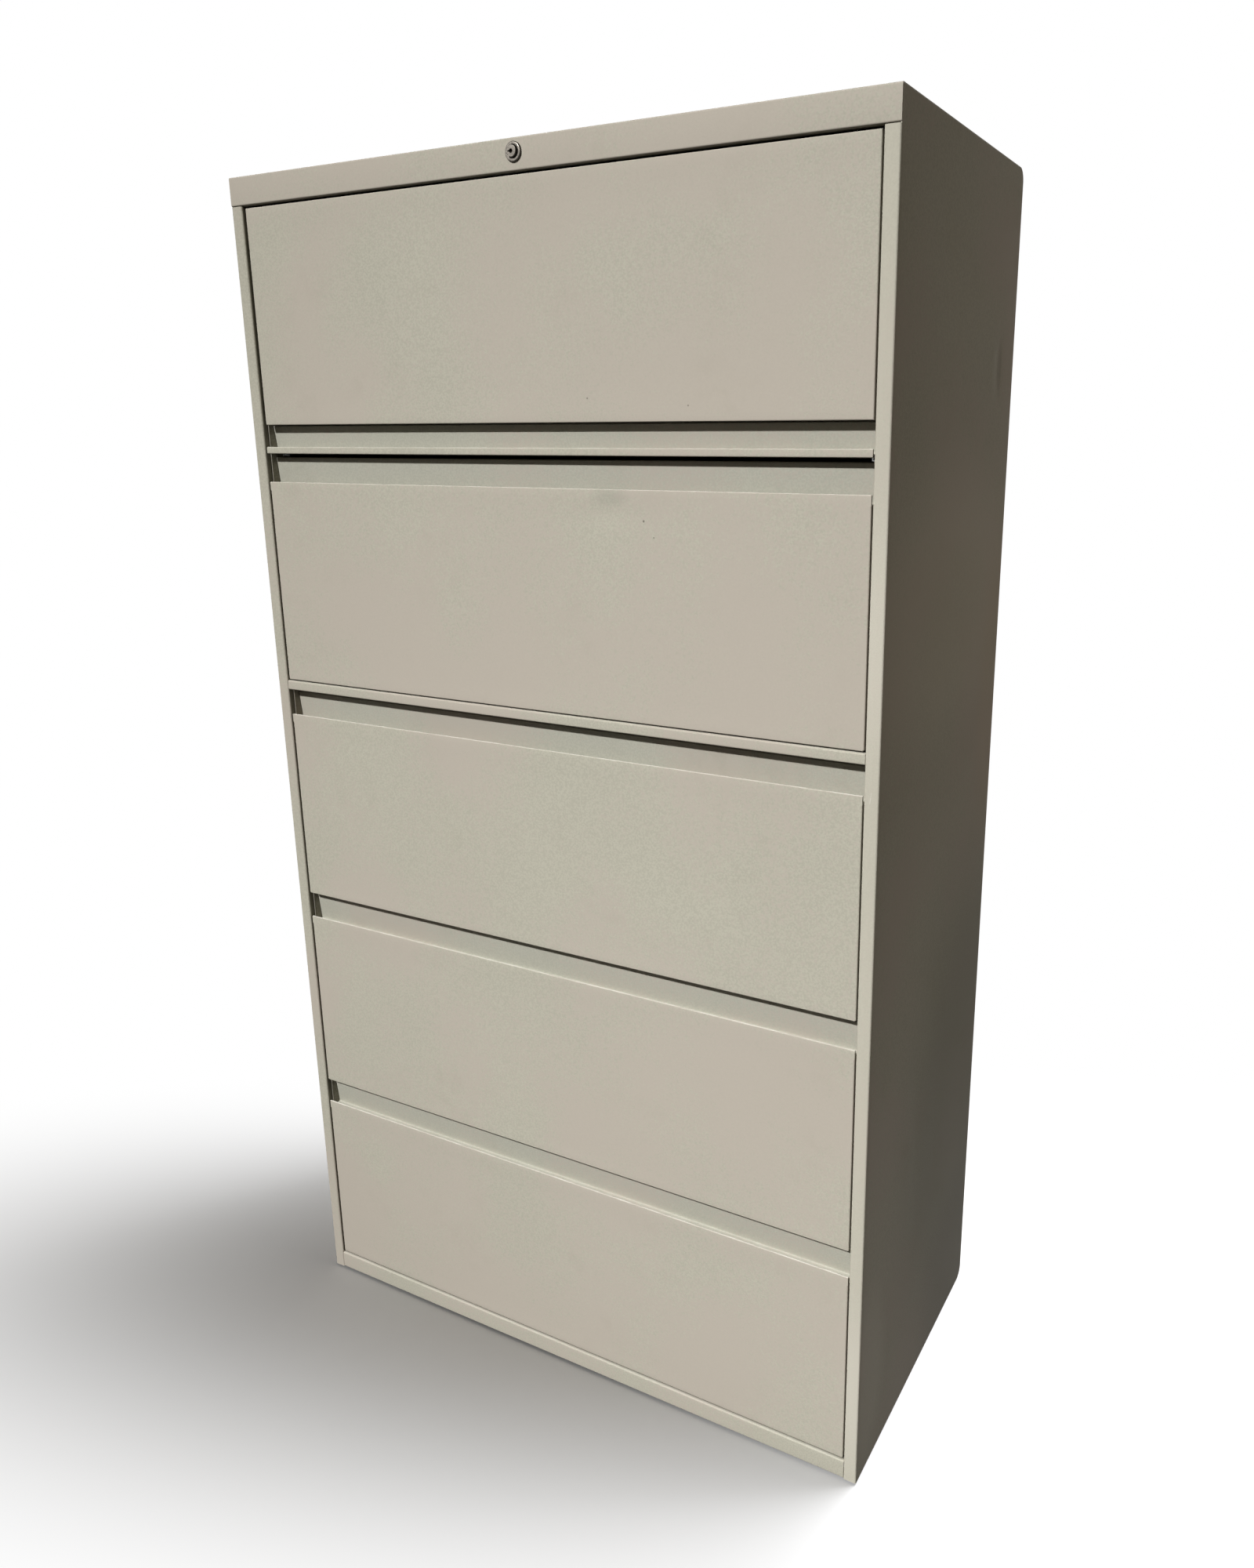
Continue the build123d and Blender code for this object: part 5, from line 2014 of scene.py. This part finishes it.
@dataclass
class Studio:
    """Camera, lamps, floor and surroundings."""

    eye: Point = (0.8889, -1.4205, 1.3262)
    look: Point = (-0.4576, 0.8505, -0.2593)
    roll: float = 0.244
    lens: float = 27.45
    shift: tuple[float, float] = (-0.0533, -0.0205)
    sensor: float = 36.0
    key: Lamp = Lamp("key_lamp", (-0.7, -6.16, 5.70), (0.85, -0.23, -1.6), 0.35, 113.0, spread=62.0)
    fill: Lamp = Lamp("rear_fill", (-2.9, 3.1, 2.3), (0.0, 0.1, 0.8), 1.6, 160.0)
    side: Lamp = Lamp("side_lamp", (2.0, 0.9, 1.25), (0.457, 0.1, 1.1), 0.6, 2.2, (1.0, 0.86, 0.70))
    over: Lamp = Lamp("floor_lamp", (1.25, 1.25, 4.2), (-0.2, -0.2, 0.0), 2.0, 300.0)
    ambient: float = 0.085
    ambient_tint: Color = (1.0, 0.84, 0.64)
    floor_reach: float = 12.0

    def build(self) -> None:
        """Sets up everything round the cabinet: one lamp lights the floor alone, the others not."""
        self._camera()
        floor = self._floor()
        lit = bpy.data.collections.new("floor_only")
        lit.objects.link(floor)
        unlit = bpy.data.collections.new("all_but_floor")
        unlit.objects.link(floor)
        unlit.collection_objects[0].light_linking.link_state = "EXCLUDE"
        for lamp in (self.key, self.fill, self.side):
            lamp.build().light_linking.receiver_collection = unlit
        self.over.build().light_linking.receiver_collection = lit
        self._world()
        bpy.context.scene.view_settings.view_transform = "Standard"

    def _camera(self) -> None:
        """Camera with a slight roll about its line of sight."""
        data = bpy.data.cameras.new("camera")
        data.lens, data.sensor_width = self.lens, self.sensor
        data.shift_x, data.shift_y = self.shift
        camera = bpy.data.objects.new("camera", data)
        bpy.context.scene.collection.objects.link(camera)
        look = Vector(self.look).normalized()
        right = look.cross(Vector((0, 0, 1))).normalized()
        up = right.cross(look)
        turn = Matrix.Rotation(radians(self.roll), 3, look)
        frame_axes = Matrix((turn @ right, turn @ up, -look)).transposed()
        camera.matrix_world = Matrix.Translation(self.eye) @ frame_axes.to_4x4()
        bpy.context.scene.camera = camera

    def _floor(self) -> bpy.types.Object:
        """Wide flat floor.

        Returns:
            The floor.
        """
        side = np.linspace(-self.floor_reach, self.floor_reach, 9)
        x, y = np.meshgrid(side, side)
        points = np.stack([x, y, np.zeros_like(x)], -1).reshape(-1, 3)
        mesh = bpy.data.meshes.new("floor")
        mesh.from_pydata(points.tolist(), [], grid_faces(len(side), len(side)).tolist())
        floor = bpy.data.objects.new("floor", mesh)
        bpy.context.scene.collection.objects.link(floor)
        dress(floor, StudioFloor().build("studio_floor"))
        return floor

    def _world(self) -> None:
        """White surroundings to the eye and to gloss, and a weak even light for the rest."""
        world = bpy.data.worlds.new("studio")
        bpy.context.scene.world = world
        world.use_nodes = True
        world.node_tree.nodes.clear()
        w = Wiring(world.node_tree)
        white = seen_directly(w)
        strength = w.math("MAXIMUM", white, self.ambient)
        light = w.node("ShaderNodeBackground")
        w.join(w.mix(white, self.ambient_tint, (1.0, 1.0, 1.0)), light.inputs[0])
        w.join(strength, light.inputs[1])
        output = w.node("ShaderNodeOutputWorld")
        w.join(light.outputs[0], output.inputs[0])


def build_rows(finishes: Finishes) -> None:
    """Builds the fronts of the drawers and the shelf, each with its own wear, and their insides.

    Args:
        finishes: Finishes of the cabinet.
    """
    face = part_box("drawer_2_front")[0].y
    marks = (
        ColourMark((0.1602, face, 1.2259), 1.6 * MM, SPECK, 0.75),
        ColourMark((0.1735, face, 1.2077), 1.2 * MM, SPECK, 0.6),
        # Painted shade: a soft dark blot round the dents
        ColourMark((0.1150, face, 1.2530), 15 * MM, (0.34, 0.335, 0.28), 0.30, (0.55, 1.0, 1.3)),
    )
    dents = (
        Dent(0.1227, 1.2520, 14 * MM, 8 * MM, 1.3 * MM),
        Dent(0.1100, 1.2360, 34 * MM, 16 * MM, 0.9 * MM),
    )
    FrontFace(finishes, "drawer_2", 2, DRAWER_POCKET, 1.6 * MM, 0.07, dents, marks).build()
    for number, blushed in ((3, 0.0), (4, 0.02), (5, 0.07)):
        FrontFace(finishes, f"drawer_{number}", number, DRAWER_POCKET, blushed=blushed).build()
    FrontFace(finishes, "shelf", 1, SHELF_POCKET, 1.7 * MM).build()
    for row in ("drawer_2", "drawer_3", "drawer_4", "drawer_5", "shelf"):
        Carcass(finishes, row).build()
    dress(frame["nodes"]["outer_slides"], finishes.zinc_deep)


def build_door(finishes: Finishes) -> None:
    """Builds the door with the two specks on its face.

    Args:
        finishes: Finishes of the cabinet.
    """
    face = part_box("door_panel")[0].y
    marks = (
        ColourMark((0.0864, face, 1.3629), 1.3 * MM, SPECK, 0.6),
        ColourMark((0.2194, face, 1.3533), 1.2 * MM, SPECK, 0.55),
    )
    RecedingDoor(finishes, colour_marks=marks).build()


def build_glides(finishes: Finishes) -> None:
    """Builds the four levelling glides, and dresses the bushes that they turn in.

    Args:
        finishes: Finishes of the cabinet.
    """
    for corner in ("front_left", "rear_left", "front_right", "rear_right"):
        LevellingGlide(finishes, f"{corner}_glide", f"{corner}_foot").build()
    dress(frame["nodes"]["glide_bushes"], finishes.zinc_tall)


def main() -> None:
    """Builds the cabinet's classes in order."""
    logging.basicConfig(level=logging.INFO, format="%(name)s %(message)s")
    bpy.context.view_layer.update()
    finishes = make_finishes()
    Studio().build()
    CaseShell(finishes).build()
    build_rows(finishes)
    build_door(finishes)
    CamLock(finishes).build()
    build_glides(finishes)
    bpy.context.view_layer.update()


if __name__ == "__main__":
    main()
